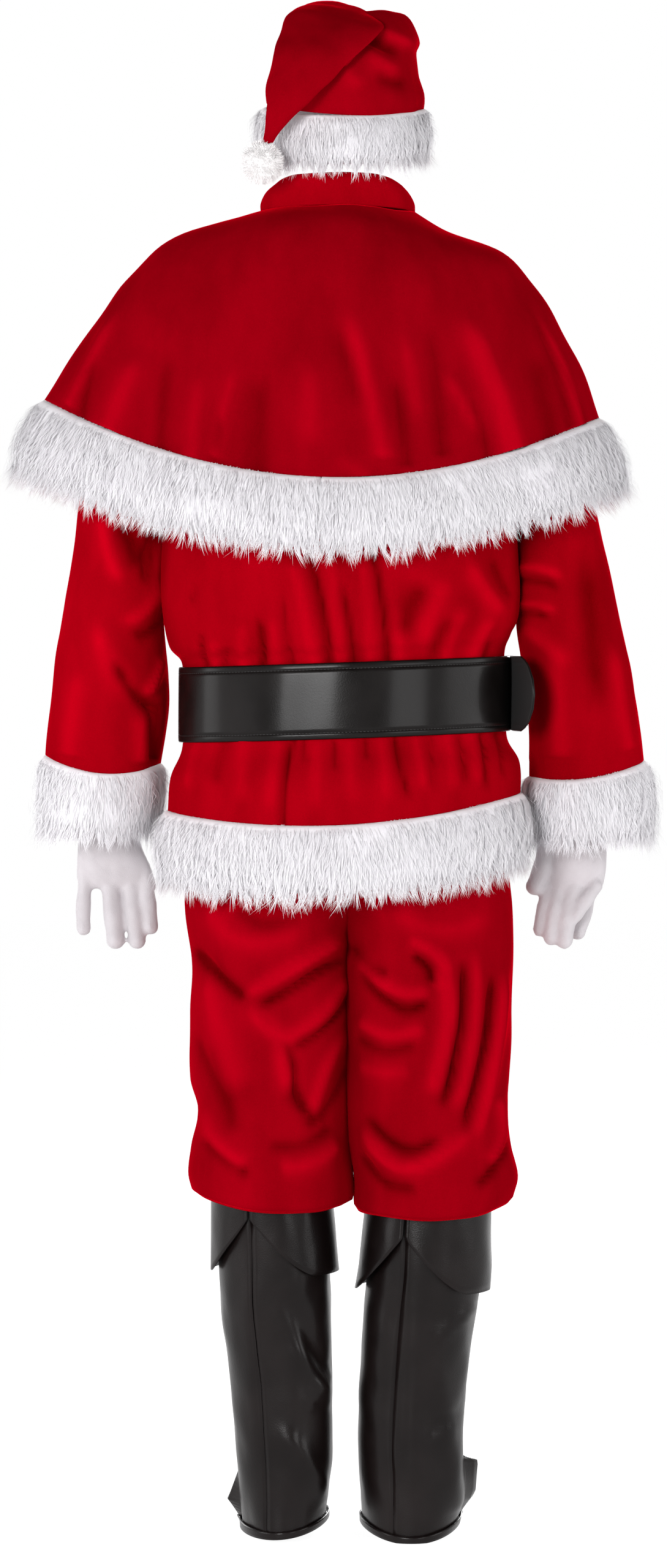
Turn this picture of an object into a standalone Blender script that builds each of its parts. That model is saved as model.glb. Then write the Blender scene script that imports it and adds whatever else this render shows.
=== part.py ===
"""Santa suit of red velvet with white fur trim, as worn, hollow and with nobody in it.

Metres, +Z up. The wearer faces -Y, so the wearer's left is +X. The origin is the
centre of the neck opening, at the seam that joins the cape to its stand collar.

Every garment is a stack of sections, and a section is an ellipse seen from above:
how far it reaches to the left, right, back and front, and how high it lies. A cut
piece is the part of that stack between two angles, given its wall by Solidify.
Angles run anticlockwise from +X seen from above: 0 left side, 90 back, 180 right
side, 270 front.
"""

import math
from collections import namedtuple

import bmesh
import bpy
from mathutils import Vector

# ---------------------------------------------------------------- driving sizes

VELVET = 0.002          # wall of the red cloth
LEATHER = 0.0018        # wall of the boot covers
KNIT = 0.0015           # wall of the gloves
SEAM = 0.0005           # space between two pieces that are sewn together
FUR_BACKING = 0.004     # how far a fur band reaches inwards from its cloth

LEFT, BACK, RIGHT, FRONT = 0.0, 90.0, 180.0, 270.0

# left, right, back and front are X and Y of the section's four sides.
# tilt: how much it falls for each metre towards +X. drop: how much lower it hangs
# at the back and front than at the sides. pitch: how much it falls for each metre
# towards +Y.
Section = namedtuple("Section", "z left right back front tilt drop pitch", defaults=(0.0, 0.0, 0.0))

# A fold is a soft ridge (or trough, where depth is negative) along a line seen from
# the back or the front: side is 1 for the back and -1 for the front.
Fold = namedtuple("Fold", "side x_top z_top x_low z_low width depth")

CAPE = (
    Section(-0.004, 0.090, -0.088, 0.074, -0.078, 0.000, -0.002),
    Section(-0.021, 0.137, -0.125, 0.108, -0.104, -0.038, 0.004),
    Section(-0.048, 0.205, -0.190, 0.133, -0.126, -0.023, 0.028),
    Section(-0.088, 0.250, -0.230, 0.147, -0.140, -0.008, 0.046),
    Section(-0.140, 0.286, -0.262, 0.157, -0.149, -0.018, 0.060),
    Section(-0.196, 0.323, -0.291, 0.164, -0.156, -0.028, 0.072),
    Section(-0.236, 0.346, -0.307, 0.169, -0.161, -0.032, 0.085),
)
CAPE_TRIM_LOW = Section(-0.328, 0.374, -0.330, 0.180, -0.172, -0.032, 0.084)
CAPE_TRIM_REACH = 0.018
TRIM_JOIN = 0.08            # degrees left open where the two halves of the fur meet

COLLAR = (
    Section(0.036, 0.082, -0.078, 0.066, -0.070),
    Section(0.000, 0.0893, -0.0873, 0.0733, -0.0773, 0.000, -0.002),
)
COLLAR_ENDS = (-84.0, 264.0)    # angles of its two ends, which leave a gap at the throat
COLLAR_SIDE_FALL = 0.018        # how much lower its top edge is at the sides
COLLAR_FRONT_FALL = 0.010       # and at the front
CAPE_NECK_PLACE = 0.06          # where the cape starts in its table, clear of the collar

JACKET = (
    Section(-0.240, 0.190, -0.190, 0.135, -0.125),
    Section(-0.320, 0.200, -0.202, 0.143, -0.132),
    Section(-0.400, 0.207, -0.210, 0.150, -0.138),
    Section(-0.475, 0.207, -0.2115, 0.152, -0.140),
    Section(-0.508, 0.199, -0.203, 0.145, -0.135, 0.035),
    Section(-0.530, 0.182, -0.195, 0.132, -0.125, 0.035),
    Section(-0.580, 0.182, -0.196, 0.132, -0.125, 0.035),
    Section(-0.630, 0.183, -0.198, 0.133, -0.126, 0.035),
    Section(-0.662, 0.196, -0.213, 0.146, -0.138, 0.045, 0.010),
    Section(-0.700, 0.201, -0.214, 0.150, -0.143, 0.052, 0.022),
)
HEM_TRIM_TOP = Section(-0.7006, 0.201, -0.214, 0.150, -0.143, 0.052, 0.022)
HEM_TRIM_LOW = Section(-0.7945, 0.203, -0.213, 0.156, -0.148, 0.052, 0.016)
HEM_TRIM_REACH = 0.017

NECKLINE_HALF_WIDTH = 0.082
NECKLINE_HALF_DEPTH = 0.070
NECK_POINT_Z = -0.016
NECKLINE_DIP = 0.014
SHOULDER_TIP_X = 0.158
SHOULDER_TIP_Z = -0.060
SHOULDER_SHARE = 34.0       # degrees of the chest that end in a shoulder seam
ARMHOLE_REACH = 34.0        # degrees that the armhole cuts into the chest
ARMHOLE_ROUNDNESS = 0.8
YOKE_ROWS = 3               # strips of the chest between armpit and shoulder
SLEEVE_CLEAR_TOP = 0.0024   # space between sleeve and armhole at the shoulder
SLEEVE_CLEAR_LOW = 0.0094   # and under the arm
ARMPIT_DROP = 0.004
SLEEVE_CAP_OUT = 0.75       # how far out its cap bulges before it falls
SLEEVE_CAP_DOWN = 0.2

SLEEVES = {
    "left": (
        Section(-0.300, 0.300, 0.206, 0.052, -0.062),
        Section(-0.400, 0.311, 0.2125, 0.053, -0.072),
        Section(-0.490, 0.328, 0.2125, 0.048, -0.088),
        Section(-0.580, 0.341, 0.2030, 0.035, -0.105, -0.030, 0.006),
        Section(-0.651, 0.348, 0.214, 0.018, -0.122, -0.080, 0.015),
    ),
    "right": (
        Section(-0.300, -0.206, -0.291, 0.052, -0.062),
        Section(-0.400, -0.2165, -0.3135, 0.053, -0.072),
        Section(-0.490, -0.2180, -0.335, 0.048, -0.088),
        Section(-0.580, -0.2280, -0.353, 0.035, -0.105, 0.060, 0.005),
        Section(-0.662, -0.2320, -0.364, 0.018, -0.122, 0.146, 0.010),
    ),
}
CUFF_LOW = {
    "left": Section(-0.7490, 0.352, 0.226, 0.006, -0.134),
    "right": Section(-0.7570, -0.241, -0.369, 0.006, -0.134),
}
CUFF_REACH = {"left": 0.014, "right": 0.017}

BELT_TOP = Section(-0.5355, 0.1866, -0.2012, 0.1370, -0.1298, 0.035)
BELT_LOW = BELT_TOP._replace(z=-0.6215)
BELT_WALL = 0.0025
BELT_LAYER = 0.0040         # from the strap's inner face to the free end's inner face
BELT_ENDS = (-80.0, 261.0)  # angles of the strap's two ends, behind the buckle
TONGUE_STARTS = 282.0       # angle where the free end comes out of the buckle
TONGUE_LEAVES = 176.0       # and where it lets go of the strap
TONGUE_HELD = 0.72          # share of its length that lies on the strap
TONGUE_TIP_LENGTH = 0.080
TONGUE_CURL = 0.030         # how far its tip stands out from a straight line
TONGUE_CURL_GROWTH = 1.6
TONGUE_ROUND = 0.125        # how far its corners are cut back, as a share of its length
BUCKLE_WIDTH = 0.082
BUCKLE_HEIGHT = 0.100
BUCKLE_BAR = 0.011
BUCKLE_THICK = 0.004
BUCKLE_CLEAR = 0.0014       # space between buckle and belt
BUCKLE_EDGE = 0.0010
PRONG_DEPTH = 0.0030
PRONG_HEIGHT = 0.0055
PRONG_CLEAR = 0.0004

WAISTBAND = (
    Section(-0.566, 0.160, -0.168, 0.112, -0.106),
    Section(-0.604, 0.164, -0.172, 0.114, -0.108),
)
PELVIS = (
    Section(-0.605, 0.164, -0.172, 0.114, -0.108),
    Section(-0.680, 0.174, -0.186, 0.124, -0.116),
    Section(-0.760, 0.179, -0.198, 0.130, -0.120),
    Section(-0.820, 0.179, -0.204, 0.128, -0.116),
    Section(-0.900, 0.172, -0.2065, 0.118, -0.106),
)
LEGS = {
    "left": (
        Section(-0.760, 0.179, -0.004, 0.118, -0.112),
        Section(-0.820, 0.179, -0.0045, 0.116, -0.108),
        Section(-0.900, 0.172, -0.0055, 0.108, -0.100),
        Section(-0.950, 0.173, -0.0055, 0.101, -0.094),
        Section(-1.030, 0.174, -0.0055, 0.095, -0.090),
        Section(-1.068, 0.165, -0.0060, 0.093, -0.089),
        Section(-1.110, 0.173, -0.0085, 0.096, -0.092),
        Section(-1.145, 0.178, -0.0130, 0.100, -0.096, -0.040, 0.004),
        Section(-1.165, 0.174, -0.0140, 0.098, -0.094, -0.060, 0.008),
        Section(-1.171, 0.165, -0.0050, 0.089, -0.085, -0.060, 0.008),
    ),
    "right": (
        Section(-0.760, -0.0125, -0.198, 0.118, -0.112),
        Section(-0.820, -0.0130, -0.204, 0.116, -0.108),
        Section(-0.900, -0.0145, -0.2065, 0.108, -0.100),
        Section(-0.950, -0.0150, -0.2055, 0.101, -0.094),
        Section(-1.030, -0.0150, -0.2000, 0.096, -0.091),
        Section(-1.068, -0.0160, -0.1995, 0.095, -0.090),
        Section(-1.110, -0.0190, -0.2055, 0.098, -0.093),
        Section(-1.150, -0.0225, -0.2120, 0.102, -0.097, 0.020, 0.006),
        Section(-1.178, -0.0235, -0.2060, 0.099, -0.094, 0.040, 0.010),
        Section(-1.184, -0.0275, -0.2010, 0.094, -0.089, 0.040, 0.010),
    ),
}
HIP_LEVEL = -0.765          # here the trousers are still one tube
CROTCH_LEVEL = -0.885       # and here they are two

BOOT_SEAM = 68.0            # angle of the seam up the back of both boot covers
BOOTS = {
    "left": (
        Section(-1.150, 0.144, 0.014, 0.069, -0.069),
        Section(-1.250, 0.1405, 0.0115, 0.065, -0.066),
        Section(-1.310, 0.1375, 0.0100, 0.060, -0.064),
        Section(-1.382, 0.1280, 0.0085, 0.054, -0.062),
        Section(-1.457, 0.1215, 0.0080, 0.050, -0.063),
        Section(-1.500, 0.1180, 0.0095, 0.048, -0.074),
        Section(-1.541, 0.1330, 0.0140, 0.048, -0.104),
        Section(-1.566, 0.1300, 0.0160, 0.048, -0.132, 0.000, 0.008),
    ),
    "right": (
        Section(-1.150, -0.040, -0.176, 0.071, -0.071),
        Section(-1.250, -0.0375, -0.1700, 0.067, -0.068),
        Section(-1.310, -0.0315, -0.1625, 0.061, -0.065),
        Section(-1.382, -0.0275, -0.1530, 0.055, -0.063),
        Section(-1.457, -0.0255, -0.1465, 0.051, -0.064),
        Section(-1.500, -0.0270, -0.1540, 0.049, -0.076),
        Section(-1.535, -0.0290, -0.1610, 0.048, -0.104),
        Section(-1.566, -0.0310, -0.1560, 0.048, -0.134, 0.000, 0.010),
    ),
}
BOOT_CUFF_LIFT = {"left": 0.0042, "right": 0.0046}   # from the shaft at the fold
BOOT_CUFF_FLARE = {"left": 0.0105, "right": 0.0130}  # and at the cuff's lower edge
BOOT_CUFF_TOP = -1.152
BOOT_CUFF_LOW = {"left": -1.258, "right": -1.280}
BOOT_NOTCH = 0.070          # how high the V at the back is cut
BOOT_NOTCH_SPREAD = 52.0    # degrees from the V's point to its end on each side
BOOT_HEM_HEIGHT = 0.009
BOOT_HEM_LIFT = 0.0006
BOOT_HEM_SLOPE = 1.5        # the slanting shaft's wall is this much thicker measured level

HAT_BAND_TOP = Section(0.1215, 0.083, -0.097, 0.087, -0.112, 0.000, 0.000, 0.200)
HAT_BAND_LOW = Section(0.0560, 0.084, -0.098, 0.088, -0.110, 0.000, 0.000, 0.200)
HAT_BAND_REACH = 0.014
HAT_CROWN = (
    Section(0.2270, 0.035, -0.061, 0.014, -0.024),
    Section(0.2200, 0.050, -0.078, 0.044, -0.056),
    Section(0.2070, 0.066, -0.090, 0.076, -0.088, 0.000, 0.000, 0.020),
    Section(0.1850, 0.075, -0.093, 0.092, -0.108, 0.000, 0.000, 0.060),
    Section(0.1530, 0.080, -0.096, 0.095, -0.114, 0.000, 0.000, 0.130),
    Section(0.1222, 0.083, -0.097, 0.087, -0.112, 0.000, 0.000, 0.200),
)

# The hat's tail, from the fold at the top to its tip: middle, half width, half thickness.
TailSection = namedtuple("TailSection", "x y z half_width half_depth")
HAT_TAIL = (
    TailSection(-0.013, -0.004, 0.2310, 0.046, 0.0160),
    TailSection(-0.005, 0.026, 0.2400, 0.049, 0.0090),
    TailSection(0.003, 0.062, 0.2360, 0.053, 0.0090),
    TailSection(0.011, 0.095, 0.2150, 0.054, 0.0090),
    TailSection(0.022, 0.111, 0.1880, 0.051, 0.0095),
    TailSection(0.037, 0.118, 0.1620, 0.042, 0.0095),
    TailSection(0.050, 0.119, 0.1400, 0.031, 0.0090),
    TailSection(0.062, 0.118, 0.1190, 0.021, 0.0085),
    TailSection(0.074, 0.114, 0.0960, 0.012, 0.0075),
    TailSection(0.082, 0.108, 0.0775, 0.007, 0.0065),
)
POMPOM_CENTRE = Vector((0.0885, 0.101, 0.0450))
POMPOM_RADIUS = 0.0255

# Where each glove lies: the palm's sections, then its fingers from root to tip.
Palm = namedtuple("Palm", "x y z half_width half_depth")
Finger = namedtuple("Finger", "name root tip radius curl")
PALMS = {
    "left": (
        Palm(0.2790, -0.074, -0.722, 0.0330, 0.0240),
        Palm(0.2780, -0.076, -0.750, 0.0345, 0.0215),
        Palm(0.2740, -0.078, -0.778, 0.0395, 0.0180),
        Palm(0.2730, -0.078, -0.800, 0.0395, 0.0155),
        Palm(0.2720, -0.077, -0.814, 0.0340, 0.0115),
    ),
    "right": (
        Palm(-0.2890, -0.074, -0.728, 0.0330, 0.0240),
        Palm(-0.2880, -0.076, -0.758, 0.0340, 0.0215),
        Palm(-0.2830, -0.078, -0.785, 0.0370, 0.0180),
        Palm(-0.2790, -0.078, -0.806, 0.0360, 0.0155),
        Palm(-0.2765, -0.077, -0.820, 0.0310, 0.0115),
    ),
}
FINGERS = {
    "left": (
        Finger("little", (0.3020, -0.077, -0.796), (0.3005, -0.062, -0.8580), 0.0085, 0.004),
        Finger("ring", (0.2840, -0.078, -0.802), (0.2650, -0.060, -0.8740), 0.0100, 0.005),
        Finger("middle", (0.2630, -0.078, -0.802), (0.2400, -0.060, -0.8740), 0.0100, 0.005),
        Finger("index", (0.2440, -0.077, -0.796), (0.2200, -0.063, -0.8580), 0.0092, 0.004),
        Finger("thumb", (0.2520, -0.086, -0.762), (0.2260, -0.108, -0.8030), 0.0105, -0.004),
    ),
    "right": (
        Finger("index", (-0.2520, -0.077, -0.802), (-0.2385, -0.057, -0.8580), 0.0092, 0.004),
        Finger("middle", (-0.2680, -0.078, -0.809), (-0.2550, -0.054, -0.8680), 0.0098, 0.005),
        Finger("ring", (-0.2850, -0.078, -0.809), (-0.2725, -0.058, -0.8680), 0.0096, 0.005),
        Finger("little", (-0.3020, -0.077, -0.802), (-0.2900, -0.062, -0.8560), 0.0084, 0.004),
        Finger("thumb", (-0.2640, -0.074, -0.768), (-0.2315, -0.062, -0.7990), 0.0100, 0.003),
    ),
}
# share of the way along a finger, and how much thinner than its radius it is there
FINGER_STATIONS = ((0.0, 1.0), (0.50, 1.0), (0.88, 0.92), (1.0, 0.50))
FINGER_TIP_PAST = 0.35      # how far its last ring lies past the tip, in radii
GLOVE_MOUTH_LIFT = 0.01     # how far the hollow is cut on past the wrist
PALM_END_DROP = 0.006       # the palm's rounded end past its last row
PALM_END_SHARE = (0.72, 0.6)    # and its width and depth there

# The largest folds of each garment, placed by eye from the way the cloth hangs.
CAPE_FOLDS = (
    Fold(1, 0.290, -0.140, 0.318, -0.225, 0.018, 0.006),
    Fold(1, 0.235, -0.180, 0.262, -0.245, 0.020, 0.007),
    Fold(1, 0.126, -0.160, 0.143, -0.280, 0.024, 0.008),
    Fold(1, -0.150, -0.120, -0.208, -0.280, 0.020, 0.007),
    Fold(1, -0.118, -0.180, -0.166, -0.275, 0.018, 0.006),
    Fold(1, -0.030, -0.220, -0.052, -0.290, 0.018, 0.004),
    Fold(-1, 0.180, -0.100, 0.250, -0.230, 0.024, 0.007),
    Fold(-1, 0.080, -0.120, 0.110, -0.280, 0.024, 0.006),
    Fold(-1, -0.110, -0.110, -0.150, -0.270, 0.024, 0.007),
    Fold(-1, -0.200, -0.120, -0.240, -0.240, 0.020, 0.006),
)
JACKET_FOLDS = (
    Fold(1, 0.140, -0.430, 0.158, -0.528, 0.014, 0.008),
    Fold(1, 0.098, -0.400, 0.115, -0.528, 0.014, 0.009),
    Fold(1, 0.020, -0.440, 0.012, -0.528, 0.014, 0.007),
    Fold(1, -0.040, -0.430, -0.050, -0.528, 0.014, 0.007),
    Fold(1, -0.090, -0.470, -0.160, -0.380, 0.022, 0.010),
    Fold(1, 0.120, -0.632, 0.135, -0.690, 0.014, 0.006),
    Fold(1, 0.040, -0.632, 0.045, -0.690, 0.014, 0.006),
    Fold(1, -0.070, -0.632, -0.080, -0.690, 0.014, 0.006),
    Fold(1, -0.150, -0.632, -0.165, -0.680, 0.014, 0.006),
    Fold(-1, 0.120, -0.420, 0.110, -0.528, 0.016, 0.008),
    Fold(-1, 0.060, -0.440, 0.055, -0.528, 0.014, 0.007),
    Fold(-1, -0.070, -0.430, -0.060, -0.528, 0.014, 0.007),
    Fold(-1, -0.130, -0.410, -0.120, -0.528, 0.016, 0.008),
    Fold(-1, 0.090, -0.632, 0.105, -0.690, 0.014, 0.006),
    Fold(-1, -0.090, -0.632, -0.105, -0.690, 0.014, 0.006),
)
SLEEVE_FOLDS = (
    Fold(1, 0.290, -0.440, 0.235, -0.560, 0.016, 0.007),
    Fold(1, 0.320, -0.520, 0.270, -0.620, 0.018, 0.006),
    Fold(1, -0.235, -0.430, -0.300, -0.470, 0.016, 0.007),
    Fold(1, -0.240, -0.520, -0.320, -0.590, 0.018, 0.007),
    Fold(-1, 0.240, -0.430, 0.300, -0.480, 0.018, 0.007),
    Fold(-1, -0.240, -0.430, -0.300, -0.480, 0.018, 0.007),
)
TROUSER_FOLDS = (
    Fold(1, 0.010, -0.880, 0.120, -0.950, 0.022, 0.012),
    Fold(1, 0.110, -0.940, 0.070, -0.990, 0.020, 0.008),
    Fold(1, 0.070, -0.985, 0.036, -1.080, 0.020, 0.010),
    Fold(1, 0.140, -1.000, 0.090, -1.110, 0.022, 0.008),
    Fold(1, -0.093, -0.865, -0.137, -0.920, 0.020, 0.010),
    Fold(1, -0.130, -0.880, -0.125, -1.050, 0.018, 0.009),
    Fold(1, -0.180, -0.860, -0.190, -1.040, 0.018, 0.007),
    Fold(1, -0.060, -0.960, -0.080, -1.110, 0.022, 0.009),
    Fold(-1, 0.030, -0.880, 0.120, -0.960, 0.024, 0.011),
    Fold(-1, 0.080, -0.980, 0.060, -1.110, 0.022, 0.009),
    Fold(-1, -0.050, -0.890, -0.140, -0.970, 0.024, 0.011),
    Fold(-1, -0.110, -0.990, -0.100, -1.120, 0.022, 0.009),
)

Paint = namedtuple("Paint", "colour roughness metallic")
PAINTS = {
    "red_velvet": Paint((0.42, 0.002, 0.010), 0.85, 0.0),
    "white_fur": Paint((0.78, 0.76, 0.80), 0.95, 0.0),
    "black_leather": Paint((0.012, 0.010, 0.010), 0.35, 0.0),
    "brown_leather": Paint((0.030, 0.022, 0.022), 0.45, 0.0),
    "white_knit": Paint((0.76, 0.75, 0.78), 0.90, 0.0),
    "gilt_metal": Paint((0.70, 0.50, 0.16), 0.30, 1.0),
}


# ---------------------------------------------------------------- the sections

def section_point(section, angle):
    """The point of a section at an angle in degrees."""
    turn = math.radians(angle)
    mid_x = (section.left + section.right) / 2
    mid_y = (section.back + section.front) / 2
    across = (section.left - section.right) / 2 * math.cos(turn)
    along = (section.back - section.front) / 2 * math.sin(turn)
    fall = section.tilt * across + section.drop * math.sin(turn) ** 2 + section.pitch * along
    return Vector((mid_x + across, mid_y + along, section.z - fall))


def section_normal(section, angle):
    """The level direction that points straight out of a section."""
    turn = math.radians(angle)
    half_x = (section.left - section.right) / 2
    half_y = (section.back - section.front) / 2
    return Vector((math.cos(turn) / half_x, math.sin(turn) / half_y, 0.0)).normalized()


def rows_between(rows, place):
    """The row at a place in a table, on a smooth curve through its rows (Catmull-Rom)."""
    first = min(int(place), len(rows) - 2)
    t = place - first
    before = rows[max(first - 1, 0)]
    after = rows[min(first + 2, len(rows) - 1)]
    values = []
    for p0, p1, p2, p3 in zip(before, rows[first], rows[first + 1], after):
        bend = 2 * p0 - 5 * p1 + 4 * p2 - p3
        twist = 3 * (p1 - p2) + p3 - p0
        values.append(p1 + 0.5 * t * (p2 - p0 + t * (bend + t * twist)))
    return type(rows[0])(*values)


def swollen(section, by):
    """The same section, larger by a distance all round."""
    return section._replace(
        left=section.left + by,
        right=section.right - by,
        back=section.back + by,
        front=section.front - by,
    )


def fold_height(point, outward, folds):
    """How far the folds push a point outwards: a bell across each fold's line, and a
    gentle rise and fall along it."""
    height = 0.0
    for fold in folds:
        facing = fold.side * outward.y
        if facing <= 0.0:
            continue
        line = Vector((fold.x_low - fold.x_top, fold.z_low - fold.z_top))
        start = Vector((point.x - fold.x_top, point.z - fold.z_top))
        along = start.dot(line) / line.length_squared
        if not 0.0 < along < 1.0:
            continue
        aside = (start - line * along).length / fold.width
        height += fold.depth * facing * math.sin(math.pi * along) * math.exp(-aside * aside)
    return height


def stack_surface(rows, folds=()):
    """A surface of angle and place through a table of sections."""
    def surface(angle, place):
        section = rows_between(rows, place)
        point = section_point(section, angle)
        outward = section_normal(section, angle)
        return point + outward * fold_height(point, outward, folds)
    return surface


# ---------------------------------------------------------------- making objects

def spread(first, last, steps):
    """steps + 1 even values from first to last."""
    return [first + (last - first) * i / steps for i in range(steps + 1)]


def grid_of(surface, angles, places):
    """Points of a surface: one list for each place, from the top down."""
    return [[surface(angle, place) for angle in angles] for place in places]


def sewn_edges(grid):
    """Draws the first and last column in by half a seam, so that neighbours stay apart."""
    for row in grid:
        first = (row[1] - row[0]).normalized() * SEAM / 2
        last = (row[-2] - row[-1]).normalized() * SEAM / 2
        row[0] = row[0] + first
        row[-1] = row[-1] + last
    return grid


def finish_object(name, cells, material, collection):
    """Puts cells in a collection as one named object."""
    mesh = bpy.data.meshes.new(name)
    cells.to_mesh(mesh)
    cells.free()
    mesh.materials.append(material)
    piece = bpy.data.objects.new(name, mesh)
    collection.objects.link(piece)
    return piece


def cloth_piece(name, grid, wall, material, tube=False):
    """One cut piece: a grid of points as its inner face, and a wall built outwards."""
    cells = bmesh.new()
    rows = [[cells.verts.new(point) for point in row] for row in grid]
    columns = len(grid[0])
    for upper, lower in zip(rows, rows[1:]):
        for c in range(columns if tube else columns - 1):
            n = (c + 1) % columns
            cells.faces.new((upper[c], lower[c], lower[n], upper[n]))
    piece = finish_object(name, cells, material, suit)
    piece.data.shade_smooth()
    solidify = piece.modifiers.new("wall", "SOLIDIFY")
    solidify.thickness = wall
    solidify.offset = 1.0
    solidify.use_quality_normals = True
    return piece


def closed_loft(name, rings, material, collection, endless=False):
    """A solid through rings of points. The last ring joins the first, or both are capped."""
    cells = bmesh.new()
    loops = [[cells.verts.new(point) for point in ring] for ring in rings]
    pairs = list(zip(loops, loops[1:]))
    if endless:
        pairs.append((loops[-1], loops[0]))
    else:
        cells.faces.new(loops[0])
        cells.faces.new(loops[-1])
    sides = len(rings[0])
    for one, two in pairs:
        for i in range(sides):
            n = (i + 1) % sides
            cells.faces.new((one[i], one[n], two[n], two[i]))
    bmesh.ops.recalc_face_normals(cells, faces=cells.faces)
    return finish_object(name, cells, material, collection)


# Across a fur band, from its seam to its lower edge and back up inside: the share of
# the way down, and the share of its reach outwards.
FUR_OUTSIDE = ((0.00, 0.10), (0.10, 0.72), (0.45, 1.00), (0.85, 0.90), (1.00, 0.25))
FUR_INSIDE = (0.94, 0.45, 0.00)


def fur_band(name, upper, lower, reach, angles, material, whole):
    """A band of fur between two sections, as one plain solid of the fur's reach."""
    rings = []
    for angle in angles:
        top = section_point(upper, angle)
        low = section_point(lower, angle)
        outward = section_normal(upper, angle)
        ring = [top.lerp(low, down) + outward * reach * out for down, out in FUR_OUTSIDE]
        ring += [top.lerp(low, down) - outward * FUR_BACKING for down in FUR_INSIDE]
        rings.append(ring)
    band = closed_loft(name, rings[:-1] if whole else rings, material, suit, endless=whole)
    band.data.shade_smooth()


# ---------------------------------------------------------------- cape and collar

def collar_surface(angle, place):
    """The stand collar, its top edge falling towards the sides and the throat."""
    point = section_point(COLLAR[int(place)], angle)
    lean = math.sin(math.radians(angle))
    fall = COLLAR_SIDE_FALL * (1.0 - abs(lean)) ** 1.5 + COLLAR_FRONT_FALL * max(-lean, 0.0)
    return point - Vector((0.0, 0.0, fall * (1.0 - place)))


def make_cape(red, white):
    surface = stack_surface(CAPE, CAPE_FOLDS)
    places = spread(CAPE_NECK_PLACE, len(CAPE) - 1.0, 6)
    panels = (
        ("cape_back", LEFT, RIGHT, 18),
        ("cape_front_right", RIGHT, FRONT, 9),
        ("cape_front_left", FRONT, 360.0, 9),
    )
    for name, start, end, columns in panels:
        grid = sewn_edges(grid_of(surface, spread(start, end, columns), places))
        cloth_piece(name, grid, VELVET, red)
    trim_top = CAPE[-1]._replace(z=CAPE[-1].z - SEAM)
    halves = (("cape_trim_left", -90.0, 90.0), ("cape_trim_right", 90.0, 270.0))
    for name, start, end in halves:
        angles = spread(start, end, 18)
        angles[0] += TRIM_JOIN
        angles[-1] -= TRIM_JOIN
        fur_band(name, trim_top, CAPE_TRIM_LOW, CAPE_TRIM_REACH, angles, white, False)
    collar = grid_of(collar_surface, spread(*COLLAR_ENDS, 24), (0.0, 1.0))
    cloth_piece("cape_collar", collar, VELVET, red)


# ---------------------------------------------------------------- jacket

def shoulder_line(angle):
    """Where the chest below an angle ends at the top: on a shoulder seam near the sides,
    and on the round neckline in the middle."""
    side = angle % 360.0
    back = side <= RIGHT
    from_left = side if back else 360.0 - side
    edge = min(from_left, 180.0 - from_left)
    hand = 1.0 if from_left < 90.0 else -1.0
    if edge < SHOULDER_SHARE:
        share = edge / SHOULDER_SHARE
        x = SHOULDER_TIP_X + (NECKLINE_HALF_WIDTH - SHOULDER_TIP_X) * share
        z = SHOULDER_TIP_Z + (NECK_POINT_Z - SHOULDER_TIP_Z) * share
        return Vector((hand * x, 0.0, z))
    share = (edge - SHOULDER_SHARE) / (90.0 - SHOULDER_SHARE)
    turn = share * math.pi / 2
    y = NECKLINE_HALF_DEPTH * math.sin(turn) * (1.0 if back else -1.0)
    z = NECK_POINT_Z - NECKLINE_DIP * math.sin(turn) ** 2
    return Vector((hand * NECKLINE_HALF_WIDTH * math.cos(turn), y, z))


def yoke_point(angle, rise):
    """The jacket above the armpits: up each line of the chest and over the shoulder, on a
    quarter of an ellipse from the chest (rise 0) to the shoulder line (rise 1)."""
    chest = section_point(JACKET[0], angle)
    top = shoulder_line(angle)
    turn = rise * math.pi / 2
    x = chest.x + (top.x - chest.x) * rise
    y = chest.y + (top.y - chest.y) * (1.0 - math.cos(turn))
    z = chest.z + (top.z - chest.z) * math.sin(turn)
    return Vector((x, y, z))


def armhole_angle(rise):
    """How many degrees the armhole has cut into the chest at this height."""
    return ARMHOLE_REACH * math.sin(math.pi * rise) ** ARMHOLE_ROUNDNESS


def jacket_grid(start, end, columns):
    """The points of one body piece, from shoulder to hem, narrowed at its armholes."""
    body = stack_surface(JACKET, JACKET_FOLDS)
    grid = []
    for rise in spread(1.0, 0.0, YOKE_ROWS)[:-1]:
        cut = armhole_angle(rise)
        first = start + cut if start % 180.0 == 0.0 else start
        last = end - cut if end % 180.0 == 0.0 else end
        grid.append([yoke_point(angle, rise) for angle in spread(first, last, columns)])
    grid += grid_of(body, spread(start, end, columns), spread(0.0, len(JACKET) - 1.0, 9))
    return sewn_edges(grid)


def draw_in_top(grid):
    """Draws the shoulder and neck edge down by half a seam."""
    for c, point in enumerate(grid[0]):
        grid[0][c] = point + (grid[1][c] - point).normalized() * SEAM
    return grid


def sleeve_head(side, angle):
    """The ring where a sleeve meets its armhole, from the shoulder's tip (angle 0) down
    the back, under the arm (180) and up the front."""
    turn = angle % 360.0
    rise = 1.0 - turn / 180.0 if turn <= 180.0 else (turn - 180.0) / 180.0
    face = 1.0 if turn <= 180.0 else -1.0
    strip = min(int(rise * YOKE_ROWS), YOKE_ROWS - 1)
    corners = []
    for height in (strip / YOKE_ROWS, (strip + 1) / YOKE_ROWS):
        corners.append(yoke_point(face * armhole_angle(height), height))
    point = corners[0].lerp(corners[1], rise * YOKE_ROWS - strip)
    clear = SLEEVE_CLEAR_LOW + (SLEEVE_CLEAR_TOP - SLEEVE_CLEAR_LOW) * rise
    return Vector((side * (point.x + clear), point.y, point.z - ARMPIT_DROP * (1.0 - rise)))


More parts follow.
